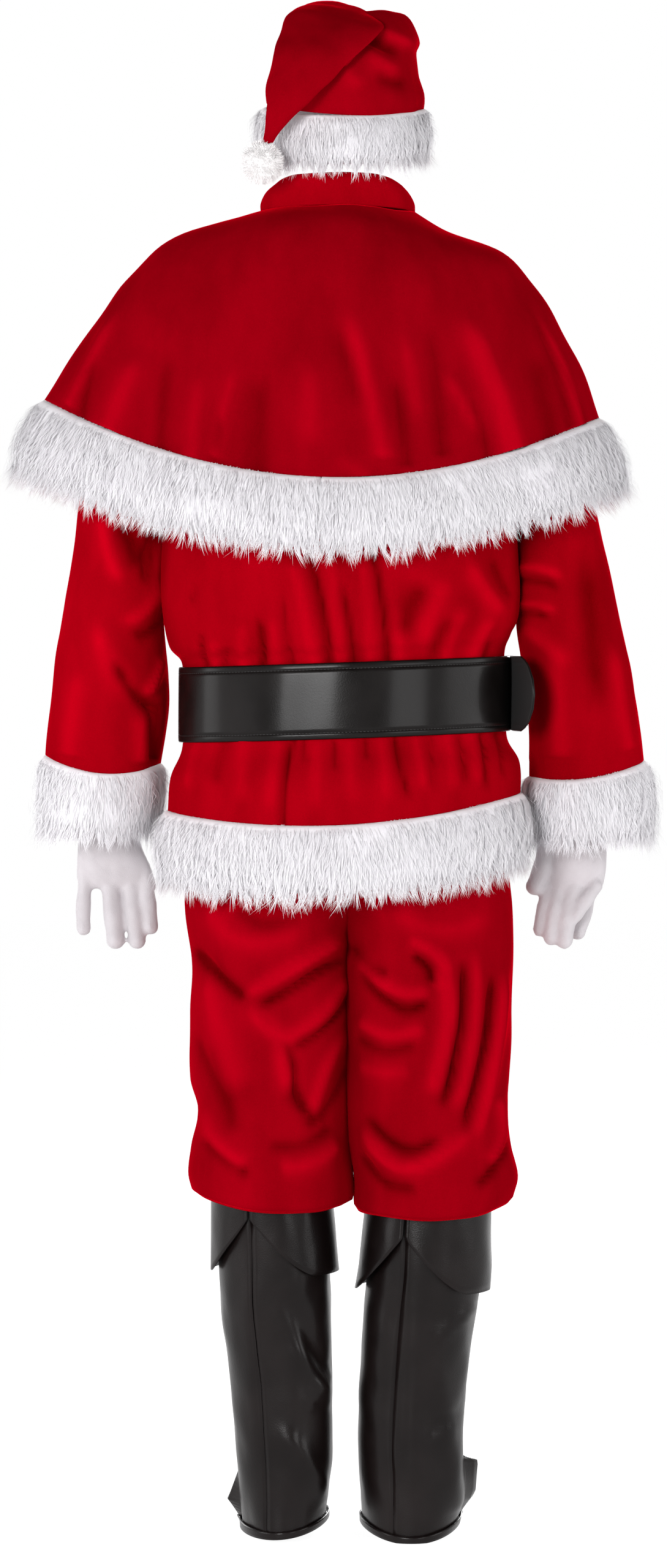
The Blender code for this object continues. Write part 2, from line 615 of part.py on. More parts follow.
def sleeve_grid(side_name, columns, cap_rows, arm_rows):
    """A sleeve: a curved cap from the armhole to the first section, then its sections."""
    rows = SLEEVES[side_name]
    side = 1.0 if side_name == "left" else -1.0
    arm = stack_surface(rows, SLEEVE_FOLDS)
    angles = spread(0.0, 360.0, columns)[:-1]
    grid = []
    for share in spread(0.0, 1.0, cap_rows)[:-1]:
        row = []
        for angle in angles:
            head = sleeve_head(side, angle)
            ring = section_point(rows[0], angle if side > 0 else 180.0 - angle)
            bulge = (SLEEVE_CAP_OUT, 0.5, SLEEVE_CAP_DOWN)
            knee = Vector([h + (r - h) * b for h, r, b in zip(head, ring, bulge)])
            rest = 1.0 - share
            row.append(head * rest * rest + knee * 2 * share * rest + ring * share * share)
        grid.append(row)
    arm_angles = [angle if side > 0 else 180.0 - angle for angle in angles]
    grid += grid_of(arm, arm_angles, spread(0.0, len(rows) - 1.0, arm_rows))
    if side < 0:
        grid = [row[::-1] for row in grid]
    return grid


def make_jacket(red, white):
    panels = (
        ("jacket_back", LEFT, RIGHT, 16),
        ("jacket_front_right", RIGHT, FRONT, 8),
        ("jacket_front_left", FRONT, 360.0, 8),
    )
    for name, start, end, columns in panels:
        grid = draw_in_top(jacket_grid(start, end, columns))
        cloth_piece(name, grid, VELVET, red)
    for side in ("left", "right"):
        cloth_piece("sleeve_" + side, sleeve_grid(side, 12, 2, 6), VELVET, red, tube=True)
        top = SLEEVES[side][-1]
        cuff_top = top._replace(z=top.z - SEAM)
        angles = spread(0.0, 360.0, 12)
        fur_band("cuff_" + side, cuff_top, CUFF_LOW[side], CUFF_REACH[side], angles, white, True)
    angles = spread(0.0, 360.0, 32)
    fur_band("hem_trim", HEM_TRIM_TOP, HEM_TRIM_LOW, HEM_TRIM_REACH, angles, white, True)


# ---------------------------------------------------------------- belt

def tongue_line(share):
    """The free end seen from above, share 0 at the buckle and 1 at the tip: along the
    strap to where it lets go, then straight back and curling outwards."""
    inner = swollen(BELT_TOP, BELT_LAYER)
    if share < TONGUE_HELD:
        angle = TONGUE_STARTS + (TONGUE_LEAVES - TONGUE_STARTS) * share / TONGUE_HELD
        return section_point(inner, angle)
    free = (share - TONGUE_HELD) / (1.0 - TONGUE_HELD)
    leave = section_point(inner, TONGUE_LEAVES)
    ahead = (leave - section_point(inner, TONGUE_LEAVES + 1.0)).normalized()
    outward = section_normal(inner, TONGUE_LEAVES)
    curl = TONGUE_CURL * free ** TONGUE_CURL_GROWTH
    return leave + ahead * TONGUE_TIP_LENGTH * free + outward * curl


def tongue_grid(height):
    """The free end, its corners cut back in a half circle at the tip."""
    shares = spread(0.0, TONGUE_HELD, 10) + spread(TONGUE_HELD, 1.0, 4)[1:]
    grid = []
    for down in spread(0.0, 1.0, 6):
        across = 2 * down - 1.0
        tuck = TONGUE_ROUND * (1.0 - math.sqrt(1.0 - 0.98 * across * across))
        row = []
        for share in reversed(shares):
            free = max(0.0, share - TONGUE_HELD) / (1.0 - TONGUE_HELD)
            row.append(tongue_line(share - tuck * free) - Vector((0.0, 0.0, height * down)))
        grid.append(row)
    return grid


def make_belt(black, gilt):
    strap = grid_of(stack_surface((BELT_TOP, BELT_LOW)), spread(*BELT_ENDS, 34), (0.0, 1.0))
    cloth_piece("belt_strap", strap, BELT_WALL, black)
    cloth_piece("belt_tongue", tongue_grid(BELT_TOP.z - BELT_LOW.z), BELT_WALL, black)

    middle = section_point(BELT_TOP, FRONT)
    face = middle.y - BELT_LAYER - BELT_WALL - BUCKLE_CLEAR
    centre = Vector((middle.x, face - BUCKLE_THICK / 2, (BELT_TOP.z + BELT_LOW.z) / 2))
    size = (BUCKLE_WIDTH, BUCKLE_THICK, BUCKLE_HEIGHT)
    buckle = box_object("belt_buckle", centre, size, gilt, suit)
    window_width = (BUCKLE_WIDTH - 3 * BUCKLE_BAR) / 2
    window = (window_width, BUCKLE_THICK * 3, BUCKLE_HEIGHT - 2 * BUCKLE_BAR)
    for hand in (-1.0, 1.0):
        aside = Vector((hand * (window_width + BUCKLE_BAR) / 2, 0.0, 0.0))
        cutter = box_object("buckle_window", centre + aside, window, gilt, cutters)
        hide_cutter(cutter)
        cut = buckle.modifiers.new("window", "BOOLEAN")
        cut.operation = "DIFFERENCE"
        cut.object = cutter
    round_edges(buckle)
    prong_size = (BUCKLE_WIDTH / 2, PRONG_DEPTH, PRONG_HEIGHT)
    prong_x = centre.x + BUCKLE_WIDTH / 4 - BUCKLE_BAR / 2
    prong_y = centre.y - BUCKLE_THICK / 2 - PRONG_DEPTH / 2 - PRONG_CLEAR
    prong = box_object("belt_prong", Vector((prong_x, prong_y, centre.z)), prong_size, gilt, suit)
    round_edges(prong)


def round_edges(piece):
    edges = piece.modifiers.new("edges", "BEVEL")
    edges.width = BUCKLE_EDGE
    edges.segments = 1
    edges.limit_method = "ANGLE"


def box_object(name, centre, size, material, collection):
    """A box of a size, from the cube primitive."""
    cells = bmesh.new()
    bmesh.ops.create_cube(cells, size=1.0)
    bmesh.ops.scale(cells, vec=size, verts=cells.verts)
    piece = finish_object(name, cells, material, collection)
    piece.location = centre
    return piece


def hide_cutter(cutter):
    cutter.hide_render = True
    cutter.display_type = "WIRE"


# ---------------------------------------------------------------- trousers

def trouser_surface(side_name):
    """One side of the trousers, by the angle round the hips. Above the hips it is part of
    one tube; below the crotch the same quarter opens out into half of the leg; between
    them the two are blended, which draws the curve of the crotch seam."""
    first = {"left": -90.0, "right": 90.0}[side_name]
    legs = LEGS[side_name]

    def surface(angle, z):
        hips = section_at_height(PELVIS, z)
        leg = section_at_height(legs, z)
        share = min(max((HIP_LEVEL - z) / (HIP_LEVEL - CROTCH_LEVEL), 0.0), 1.0)
        share = share * share * (3.0 - 2.0 * share)
        leg_angle = (angle - first) * 2.0 + (180.0 if side_name == "left" else 0.0)
        hip_point = section_point(hips, angle)
        leg_point = section_point(leg, leg_angle)
        point = hip_point.lerp(leg_point, share)
        outward = section_normal(hips, angle).lerp(section_normal(leg, leg_angle), share)
        return point + outward * fold_height(point, outward, TROUSER_FOLDS)
    return surface


def section_at_height(rows, z):
    """The section of a table at a height, straight beyond its ends."""
    if z >= rows[0].z:
        return rows[0]._replace(z=z)
    if z <= rows[-1].z:
        return rows[-1]._replace(z=z)
    for place, (upper, lower) in enumerate(zip(rows, rows[1:])):
        if z >= lower.z:
            return rows_between(rows, place + (upper.z - z) / (upper.z - lower.z))._replace(z=z)


def make_trousers(red):
    band = grid_of(stack_surface(WAISTBAND), spread(0.0, 360.0, 20)[:-1], (0.0, 1.0))
    cloth_piece("trousers_waistband", band, VELVET, red, tube=True)
    for side in ("left", "right"):
        surface = trouser_surface(side)
        heights = [PELVIS[0].z] + spread(HIP_LEVEL, CROTCH_LEVEL, 3)
        heights += [row.z for row in LEGS[side][3:]]
        starts = {"left": (0.0, -90.0), "right": (90.0, 180.0)}[side]
        for face, start in zip(("back", "front"), starts):
            grid = sewn_edges(grid_of(surface, spread(start, start + 90.0, 8), heights))
            cloth_piece("trousers_" + face + "_" + side, grid, VELVET, red)


# ---------------------------------------------------------------- boot covers

def boot_cuff_surface(side):
    """The turned-down cuff: from the fold down over the shaft, flaring, with a V at the
    back where its lower edge climbs in straight lines to a point."""
    rows = BOOTS[side]

    def surface(angle, down):
        aside = abs((angle - BOOT_SEAM + 180.0) % 360.0 - 180.0)
        climb = BOOT_NOTCH * max(0.0, 1.0 - aside / BOOT_NOTCH_SPREAD)
        z = BOOT_CUFF_TOP + (BOOT_CUFF_LOW[side] + climb - BOOT_CUFF_TOP) * down
        fall = (BOOT_CUFF_TOP - z) / (BOOT_CUFF_TOP - BOOT_CUFF_LOW[side])
        stand = BOOT_CUFF_LIFT[side] + (BOOT_CUFF_FLARE[side] - BOOT_CUFF_LIFT[side]) * fall
        return section_point(swollen(section_at_height(rows, z), stand), angle)
    return surface


def make_boots(brown):
    for side in ("left", "right"):
        rows = BOOTS[side]
        surface = stack_surface(rows)
        halves = {"left": ("inner", "outer"), "right": ("outer", "inner")}[side]
        for half, start in zip(halves, (BOOT_SEAM, BOOT_SEAM + 180.0)):
            angles = spread(start, start + 180.0, 8)
            grid = grid_of(surface, angles, spread(0.0, len(rows) - 1.0, 7))
            cloth_piece("boot_" + side + "_" + half, sewn_edges(grid), LEATHER, brown)
        angles = spread(BOOT_SEAM + 1.0, BOOT_SEAM + 359.0, 16)
        cuff = grid_of(boot_cuff_surface(side), angles, spread(0.0, 1.0, 2))
        cloth_piece("boot_" + side + "_cuff", cuff, LEATHER, brown)
        low = rows[-1]
        high = section_at_height(rows, low.z + BOOT_HEM_HEIGHT)._replace(drop=low.drop)
        hem_rows = [swollen(row, LEATHER * BOOT_HEM_SLOPE + BOOT_HEM_LIFT) for row in (high, low)]
        angles = spread(BOOT_SEAM, BOOT_SEAM + 360.0, 16)[:-1]
        hem = grid_of(stack_surface(hem_rows), angles, (0.0, 1.0))
        cloth_piece("boot_" + side + "_hem", hem, LEATHER, brown, tube=True)


# ---------------------------------------------------------------- gloves

def palm_rings(palms, shrink, lift):
    """Eight-sided flat rings from the wrist to the knuckles, and a small rounded end."""
    last = palms[-1]
    wide, deep = PALM_END_SHARE
    end = last._replace(z=last.z - PALM_END_DROP, half_width=last.half_width * wide,
                        half_depth=last.half_depth * deep)
    rings = []
    for place, palm in enumerate(palms + (end,)):
        z = palm.z + (lift if place == 0 else 0.0) + (shrink if palm is end else 0.0)
        ring = []
        for turn in spread(0.0, 2 * math.pi, 8)[:-1]:
            x = palm.x + (palm.half_width - shrink) * math.cos(turn)
            y = palm.y + (palm.half_depth - shrink) * math.sin(turn)
            ring.append(Vector((x, y, z)))
        rings.append(ring)
    return rings


def finger_rings(finger, shrink):
    """Six-sided rings along a bent finger, closing in at the tip."""
    root = Vector(finger.root)
    tip = Vector(finger.tip)
    along = (tip - root).normalized()
    side = along.cross(Vector((0.0, 1.0, 0.0))).normalized()
    palmward = side.cross(along)
    length = (tip - root).length
    rings = []
    for share, fat in FINGER_STATIONS:
        at_tip = share == 1.0
        radius = finger.radius * fat - shrink * (0.7 if at_tip else 1.0)
        past = finger.radius * FINGER_TIP_PAST - shrink if at_tip else 0.0
        bow = finger.curl * math.sin(math.pi * share)
        centre = root + along * (length * share + past) - palmward * bow
        ring = []
        for turn in spread(0.0, 2 * math.pi, 6)[:-1]:
            ring.append(centre + (side * math.cos(turn) + palmward * math.sin(turn)) * radius)
        rings.append(ring)
    return rings


def make_gloves(knit):
    """Each glove is its palm with its fingers joined on, less the same shapes inside."""
    for side in ("left", "right"):
        glove = closed_loft("glove_" + side, palm_rings(PALMS[side], 0.0, 0.0), knit, suit)
        hollow = palm_rings(PALMS[side], KNIT, GLOVE_MOUTH_LIFT)
        steps = [("UNION", side + "_" + f.name, finger_rings(f, 0.0)) for f in FINGERS[side]]
        steps.append(("DIFFERENCE", side + "_palm_hollow", hollow))
        for finger in FINGERS[side]:
            hollow = finger_rings(finger, KNIT)
            steps.append(("DIFFERENCE", side + "_" + finger.name + "_hollow", hollow))
        for operation, name, rings in steps:
            body = closed_loft(name, rings, knit, cutters)
            hide_cutter(body)
            join = glove.modifiers.new(name, "BOOLEAN")
            join.operation = operation
            join.object = body


# ---------------------------------------------------------------- hat

def tail_grid(columns):
    """The tail: flat rings square to its middle line, which rises out of the crown, turns
    over the top and hangs down behind."""
    grid = []
    places = spread(0.0, len(HAT_TAIL) - 1.0, 8)
    for place in places:
        here = rows_between(HAT_TAIL, place)
        ahead = rows_between(HAT_TAIL, min(place + 0.2, len(HAT_TAIL) - 1.0))
        behind = rows_between(HAT_TAIL, max(place - 0.2, 0.0))
        along = Vector((0.0, ahead.y - behind.y, ahead.z - behind.z))
        if place == 0.0:
            along = Vector((0.0, 0.0, 1.0))
        along.normalize()
        thick = along.cross(Vector((1.0, 0.0, 0.0)))
        ring = []
        for turn in spread(0.0, 2 * math.pi, columns)[:-1]:
            middle = Vector((here.x, here.y, here.z))
            middle += Vector((here.half_width * math.cos(turn), 0.0, 0.0))
            ring.append(middle + thick * here.half_depth * math.sin(turn))
        grid.append(ring)
    return [row[::-1] for row in grid]


def make_hat(red, white):
    places = spread(0.0, len(HAT_CROWN) - 1.0, 5)
    crown = grid_of(stack_surface(HAT_CROWN), spread(0.0, 360.0, 18)[:-1], places)
    cloth_piece("hat_crown", crown, VELVET, red, tube=True)
    cloth_piece("hat_tail", tail_grid(12), VELVET, red, tube=True)
    angles = spread(0.0, 360.0, 18)
    fur_band("hat_band", HAT_BAND_TOP, HAT_BAND_LOW, HAT_BAND_REACH, angles, white, True)
    cells = bmesh.new()
    bmesh.ops.create_icosphere(cells, subdivisions=2, radius=POMPOM_RADIUS)
    pompom = finish_object("hat_pompom", cells, white, suit)
    pompom.data.shade_smooth()
    pompom.location = POMPOM_CENTRE


# ---------------------------------------------------------------- the whole suit

def finish(name):
    """A material of its own for each garment, in one of the finishes."""
    paint = PAINTS[name]
    material = bpy.data.materials.new(name)
    material.use_nodes = True
    shader = material.node_tree.nodes["Principled BSDF"]
    shader.inputs["Base Color"].default_value = (*paint.colour, 1.0)
    shader.inputs["Roughness"].default_value = paint.roughness
    shader.inputs["Metallic"].default_value = paint.metallic
    material.diffuse_color = (*paint.colour, 1.0)
    return material


for old in list(bpy.data.objects):
    bpy.data.objects.remove(old, do_unlink=True)
suit = bpy.data.collections.new("santa_suit")
cutters = bpy.data.collections.new("cutters")
bpy.context.scene.collection.children.link(suit)
bpy.context.scene.collection.children.link(cutters)

make_cape(finish("red_velvet"), finish("white_fur"))
make_jacket(finish("red_velvet"), finish("white_fur"))
make_belt(finish("black_leather"), finish("gilt_metal"))
make_trousers(finish("red_velvet"))
make_boots(finish("brown_leather"))
make_gloves(finish("white_knit"))
make_hat(finish("red_velvet"), finish("white_fur"))
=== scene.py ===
"""Looks of the worn santa suit: velvet, fur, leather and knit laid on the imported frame.

Metres, +Z up, the wearer faces -Y and the wearer's left is +X. Each garment is a
stack of sections (ellipses seen from above); a cut piece is a range of angles of its
stack, drawn as a fine grid, pushed in and out along its folds and given a wall.
"""

import bpy
import numpy as np
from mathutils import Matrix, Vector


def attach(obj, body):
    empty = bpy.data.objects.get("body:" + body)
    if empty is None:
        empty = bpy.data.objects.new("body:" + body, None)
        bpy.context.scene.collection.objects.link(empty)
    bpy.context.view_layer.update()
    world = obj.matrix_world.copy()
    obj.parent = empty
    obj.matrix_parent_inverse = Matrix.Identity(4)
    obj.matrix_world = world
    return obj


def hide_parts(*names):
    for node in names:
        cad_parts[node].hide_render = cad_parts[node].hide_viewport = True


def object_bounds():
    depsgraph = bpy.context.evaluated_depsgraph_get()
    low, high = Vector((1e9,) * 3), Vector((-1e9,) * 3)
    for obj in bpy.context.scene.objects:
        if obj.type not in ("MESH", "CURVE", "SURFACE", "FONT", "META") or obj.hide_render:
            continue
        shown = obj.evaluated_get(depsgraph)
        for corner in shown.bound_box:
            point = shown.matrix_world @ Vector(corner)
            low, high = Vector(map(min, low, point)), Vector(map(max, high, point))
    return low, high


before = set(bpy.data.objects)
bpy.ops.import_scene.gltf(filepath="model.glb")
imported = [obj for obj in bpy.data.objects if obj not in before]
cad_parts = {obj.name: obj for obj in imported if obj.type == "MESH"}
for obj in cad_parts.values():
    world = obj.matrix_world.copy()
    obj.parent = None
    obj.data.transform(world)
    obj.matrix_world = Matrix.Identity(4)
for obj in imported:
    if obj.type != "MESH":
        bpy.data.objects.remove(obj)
CAD_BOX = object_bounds()
TAU = 2 * np.pi

# ------------------------------------------------------------------ sizes

VELVET = 0.002
LEATHER = 0.0018
KNIT = 0.0013
BELT_WALL = 0.0025

# Columns of a section: height, X at the left and right, Y at the back and front, then
# tilt (fall for each metre towards +X), drop (how much lower at back and front) and
# pitch (fall for each metre towards +Y).
SECTION_COLUMNS = 8


def sections(*rows):
    """A table of sections, short rows filled up with zeros."""
    return np.array([row + (0.0,) * (SECTION_COLUMNS - len(row)) for row in rows])


CAPE = sections(
    (-0.004, 0.090, -0.088, 0.074, -0.078, 0.000, -0.002),
    (-0.021, 0.137, -0.125, 0.108, -0.104, -0.038, 0.004),
    (-0.048, 0.205, -0.190, 0.133, -0.126, -0.023, 0.028),
    (-0.088, 0.250, -0.230, 0.147, -0.140, -0.008, 0.046),
    (-0.140, 0.286, -0.262, 0.157, -0.149, -0.018, 0.060),
    (-0.196, 0.323, -0.291, 0.164, -0.156, -0.028, 0.072),
    (-0.236, 0.346, -0.307, 0.169, -0.161, -0.032, 0.085),
)
CAPE_TRIM_LOW = sections((-0.328, 0.374, -0.330, 0.180, -0.172, -0.032, 0.084))[0]
COLLAR = sections(
    (0.037, 0.080, -0.076, 0.066, -0.070),
    (0.030, 0.0865, -0.0835, 0.0685, -0.0725),
    (0.014, 0.0905, -0.0880, 0.0715, -0.0755),
    (-0.003, 0.0905, -0.0880, 0.0735, -0.0775, 0.000, -0.002),
)
# the collar's top edge is this much lower at the sides and at the front
COLLAR_SIDE_FALL = 0.020
COLLAR_FRONT_FALL = 0.012
JACKET = sections(
    (-0.240, 0.190, -0.190, 0.135, -0.125),
    (-0.320, 0.200, -0.202, 0.143, -0.132),
    (-0.400, 0.207, -0.210, 0.150, -0.138),
    (-0.475, 0.207, -0.2115, 0.152, -0.140),
    (-0.508, 0.199, -0.203, 0.145, -0.135, 0.035),
    (-0.530, 0.182, -0.195, 0.132, -0.125, 0.035),
    (-0.580, 0.182, -0.196, 0.132, -0.125, 0.035),
    (-0.630, 0.183, -0.198, 0.133, -0.126, 0.035),
    (-0.662, 0.196, -0.213, 0.146, -0.138, 0.045, 0.010),
    (-0.700, 0.201, -0.214, 0.150, -0.143, 0.052, 0.022),
)
HEM_TRIM_LOW = sections((-0.7945, 0.203, -0.213, 0.156, -0.148, 0.052, 0.016))[0]
SLEEVES = {
    "left": sections(
        (-0.300, 0.300, 0.203, 0.052, -0.062),
        (-0.400, 0.311, 0.2095, 0.053, -0.072),
        (-0.490, 0.328, 0.2095, 0.048, -0.088),
        (-0.580, 0.341, 0.2030, 0.035, -0.105, -0.030, 0.006),
        (-0.651, 0.348, 0.214, 0.018, -0.122, -0.080, 0.015),
    ),
    "right": sections(
        (-0.300, -0.204, -0.291, 0.052, -0.062),
        (-0.400, -0.2125, -0.3135, 0.053, -0.072),
        (-0.490, -0.2135, -0.335, 0.048, -0.088),
        (-0.580, -0.2280, -0.353, 0.035, -0.105, 0.060, 0.005),
        (-0.662, -0.2320, -0.364, 0.018, -0.122, 0.146, 0.010),
    ),
}
CUFF_LOW = {
    "left": sections((-0.7490, 0.352, 0.226, 0.006, -0.134))[0],
    "right": sections((-0.7570, -0.241, -0.369, 0.006, -0.134))[0],
}
SHOULDER = {"neck_x": 0.082, "neck_y": 0.070, "neck_z": -0.016, "dip": 0.014,
            "tip_x": 0.158, "tip_z": -0.060, "share": 34.0, "armhole": 34.0}
BELT_TOP = sections((-0.5355, 0.1866, -0.2012, 0.1370, -0.1298, 0.035))[0]
BELT_HEIGHT = 0.086
TONGUE = {"layer": 0.0040, "start": 282.0, "leaves": 176.0, "held": 0.72, "tip": 0.080, "curl": 0.030}
PELVIS = sections(
    (-0.605, 0.164, -0.172, 0.114, -0.108),
    (-0.680, 0.174, -0.186, 0.124, -0.116),
    (-0.760, 0.179, -0.198, 0.130, -0.120),
    (-0.820, 0.179, -0.204, 0.128, -0.116),
    (-0.900, 0.172, -0.2065, 0.118, -0.106),
)
LEGS = {
    "left": sections(
        (-0.760, 0.179, -0.008, 0.118, -0.112),
        (-0.820, 0.179, -0.0085, 0.116, -0.108),
        (-0.900, 0.172, -0.0095, 0.108, -0.100),
        (-0.950, 0.173, -0.0100, 0.101, -0.094),
        (-1.030, 0.174, -0.0100, 0.095, -0.090),
        (-1.068, 0.165, -0.0105, 0.093, -0.089),
        (-1.110, 0.173, -0.0120, 0.096, -0.092),
        (-1.145, 0.178, -0.0150, 0.100, -0.096, -0.040, 0.004),
        (-1.165, 0.174, -0.0140, 0.098, -0.094, -0.060, 0.008),
        (-1.171, 0.165, -0.0050, 0.089, -0.085, -0.060, 0.008),
    ),
    "right": sections(
        (-0.760, -0.0125, -0.198, 0.118, -0.112),
        (-0.820, -0.0115, -0.204, 0.116, -0.108),
        (-0.900, -0.0110, -0.2065, 0.108, -0.100),
        (-0.950, -0.0108, -0.2055, 0.101, -0.094),
        (-1.030, -0.0108, -0.2000, 0.096, -0.091),
        (-1.068, -0.0115, -0.1995, 0.095, -0.090),
        (-1.110, -0.0145, -0.2055, 0.098, -0.093),
        (-1.146, -0.0225, -0.2120, 0.102, -0.097, 0.020, 0.006),
        (-1.173, -0.0235, -0.2060, 0.099, -0.094, 0.050, 0.008),
        (-1.179, -0.0275, -0.2010, 0.094, -0.089, 0.050, 0.008),
    ),
}
HIP_LEVEL = -0.765
CROTCH_LEVEL = -0.885
BOOT_SEAM = 68.0
BOOTS = {
    "left": sections(
        (-1.150, 0.144, 0.014, 0.069, -0.069),
        (-1.250, 0.1405, 0.0115, 0.065, -0.066),
        (-1.310, 0.1375, 0.0100, 0.060, -0.064),
        (-1.382, 0.1280, 0.0085, 0.054, -0.062),
        (-1.457, 0.1215, 0.0080, 0.050, -0.063),
        (-1.500, 0.1180, 0.0095, 0.048, -0.074),
        (-1.541, 0.1145, 0.0150, 0.048, -0.104, 0.040),
        (-1.566, 0.1130, 0.0155, 0.048, -0.132, 0.120, 0.006),
    ),
    "right": sections(
        (-1.150, -0.040, -0.176, 0.071, -0.071),
        (-1.250, -0.0375, -0.1700, 0.067, -0.068),
        (-1.310, -0.0315, -0.1625, 0.061, -0.065),
        (-1.382, -0.0275, -0.1530, 0.055, -0.063),
        (-1.457, -0.0255, -0.1465, 0.051, -0.064),
        (-1.500, -0.0270, -0.1490, 0.049, -0.076),
        (-1.535, -0.0290, -0.1490, 0.048, -0.104),
        (-1.566, -0.0310, -0.1420, 0.048, -0.134, 0.000, 0.012),
    ),
}
BOOT_CUFF = {
    "left": {"lift": 0.0042, "flare": 0.0105, "low": -1.258, "area": 0.048},
    "right": {"lift": 0.0046, "flare": 0.0130, "low": -1.280, "area": 0.058},
}
# heights, and how far the instep stands out sideways past the shaft on its outer side
BOOT_WING = {
    "left": ((-1.570, -1.541, -1.500), (0.000, 0.0200, 0.000)),
    "right": ((-1.566, -1.530, -1.492, -1.484), (0.000, 0.0150, 0.0190, 0.000)),
}
BOOT_CUFF_TOP = -1.152
BOOT_NOTCH = 0.070
BOOT_NOTCH_SPREAD = 62.0
HAT_BAND_TOP = sections((0.1215, 0.083, -0.097, 0.087, -0.112, 0.000, 0.000, 0.200))[0]
HAT_BAND_LOW = sections((0.0560, 0.084, -0.098, 0.088, -0.110, 0.000, 0.000, 0.200))[0]
HAT_CROWN = sections(
    (0.2300, 0.030, -0.060, 0.008, -0.022),
    (0.2270, 0.044, -0.078, 0.030, -0.050, 0.010),
    (0.2130, 0.060, -0.090, 0.050, -0.082, 0.030),
    (0.1980, 0.070, -0.0965, 0.066, -0.100, 0.010, 0.000, 0.030),
    (0.1850, 0.074, -0.0900, 0.080, -0.108, 0.000, 0.000, 0.060),
    (0.1600, 0.079, -0.0925, 0.090, -0.113, 0.000, 0.000, 0.120),
    (0.1400, 0.082, -0.0995, 0.090, -0.113, -0.040, 0.000, 0.160),
    (0.1222, 0.083, -0.0970, 0.087, -0.112, -0.060, 0.000, 0.200),
)
# the tail's two edges as seen from behind (X and Z each), then Y and half thickness
HAT_TAIL = np.array([
    (0.036, 0.2150, -0.046, 0.2050, -0.020, 0.0185),
    (0.044, 0.2300, -0.050, 0.2120, 0.010, 0.0215),
    (0.0555, 0.2230, -0.053, 0.2100, 0.044, 0.0150),
    (0.064, 0.2080, -0.049, 0.2020, 0.074, 0.0090),
    (0.0715, 0.1900, -0.038, 0.1860, 0.092, 0.0085),
    (0.0755, 0.1680, -0.020, 0.1650, 0.107, 0.0095),
    (0.0770, 0.1470, 0.002, 0.1430, 0.113, 0.0095),
    (0.0805, 0.1260, 0.026, 0.1230, 0.116, 0.0090),
    (0.0845, 0.1030, 0.048, 0.1010, 0.115, 0.0085),
    (0.0875, 0.0840, 0.065, 0.0820, 0.111, 0.0075),
    (0.0890, 0.0690, 0.075, 0.0675, 0.106, 0.0065),
])

# ------------------------------------------------------------------ folds
# Millimetres. Side 1 back, -1 front; the fold's line from its top (x, z) to its low end
# (x, z), how far the line bows sideways, the fold's width on each hand, its height (a
# trough is negative), and which ends stay open: they keep their full height.
FOLD_COLUMNS = "side x0 z0 x1 z1 bow wide_left wide_right height open_top open_low".split()
MM = 0.001


def folds(*rows):
    """Folds with their side in the first column, in metres."""
    return [dict(zip(FOLD_COLUMNS, (row[0], *(v * MM for v in row[1:9]), *row[9:]))) for row in rows]


def back_folds(*rows):
    return folds(*((1,) + row for row in rows))


def long_folds(*rows):
    """Folds along several points: height and width, then the points (x, z) of the line."""
    return [{"side": 1, "height": row[0] * MM, "wide": row[1] * MM, "line": np.array(row[2:]) * MM} for row in rows]


def turned_to_front(table, raised, softer=0.85):
    """The same folds for the hidden front: mirrored left to right, raised a little and
    somewhat softer, so that the front hangs like the back without repeating it."""
    front = []
    for fold in table:
        if "line" in fold:
            line = fold["line"] * (-1.0, 1.0) + (0.0, raised)
            front.append(dict(fold, side=-1, line=line, height=fold["height"] * softer))
            continue
        other = dict(fold, side=-1, x0=-fold["x0"], x1=-fold["x1"], bow=-fold["bow"])
        other.update(z0=fold["z0"] + raised, z1=fold["z1"] + raised, height=fold["height"] * softer)
        other.update(wide_left=fold["wide_right"], wide_right=fold["wide_left"])
        front.append(other)
    return front


CAPE_FOLDS = back_folds(
    (254, -117, 313, -234, 1.5, 7, 6.5, 6.5, 0, 1),
    (283, -167, 299, -258, 0, 5, 5, -4, 0, 1),
    (228, -174, 268, -269, 2, 15.5, 11.5, 6.5, 0, 1),
    (195, -167, 205, -290, 1.5, 7, 10, -4.5, 0, 1),
    (116, -184, 141, -297, 2, 6.5, 6.5, 5.5, 0, 1),
    (133, -244, 142, -308, 0.5, 2, 3.5, -5.5, 0, 1),
    (157, -195, 169, -297, 1.5, 8.5, 7, 4, 0, 1),
    (86, -195, 90, -315, 0, 15.5, 12.5, -4, 0, 1),
    (33, -174, 31, -294, 0, 14, 14, 4, 0, 0),
    (5, -138, -23, -251, -3, 10, 11.5, -4, 0, 0),
    (-7, -117, -52, -297, -3.5, 10, 8, 7.5, 0, 1),
    (-73, -145, -92, -265, -2, 6.5, 6.5, 4.5, 0, 0),
    (-62, -195, -78, -308, -1.5, 6.5, 8.5, -4.5, 0, 1),
    (-104, -138, -120, -294, -1.5, 10, 8.5, -4.5, 0, 1),
    (-117, -195, -163, -276, -3, 7, 8.5, 5.5, 0, 0),
    (-150, -223, -175, -301, -1.5, 5, 5.5, -4.5, 0, 1),
    (-141, -124, -207, -301, -7, 15.5, 11.5, 9.5, 0, 1),
    (-223, -167, -249, -286, -3, 11.5, 11.5, -4.5, 0, 1),
    (-231, -124, -286, -269, -6.5, 4, 3.5, 4.5, 0, 1),
    (-219, -110, -270, -258, -5.5, 4, 4, -4, 0, 1),
    (5, -297, -34, -320, 0, 10, 10, 3, 0, 1),
)
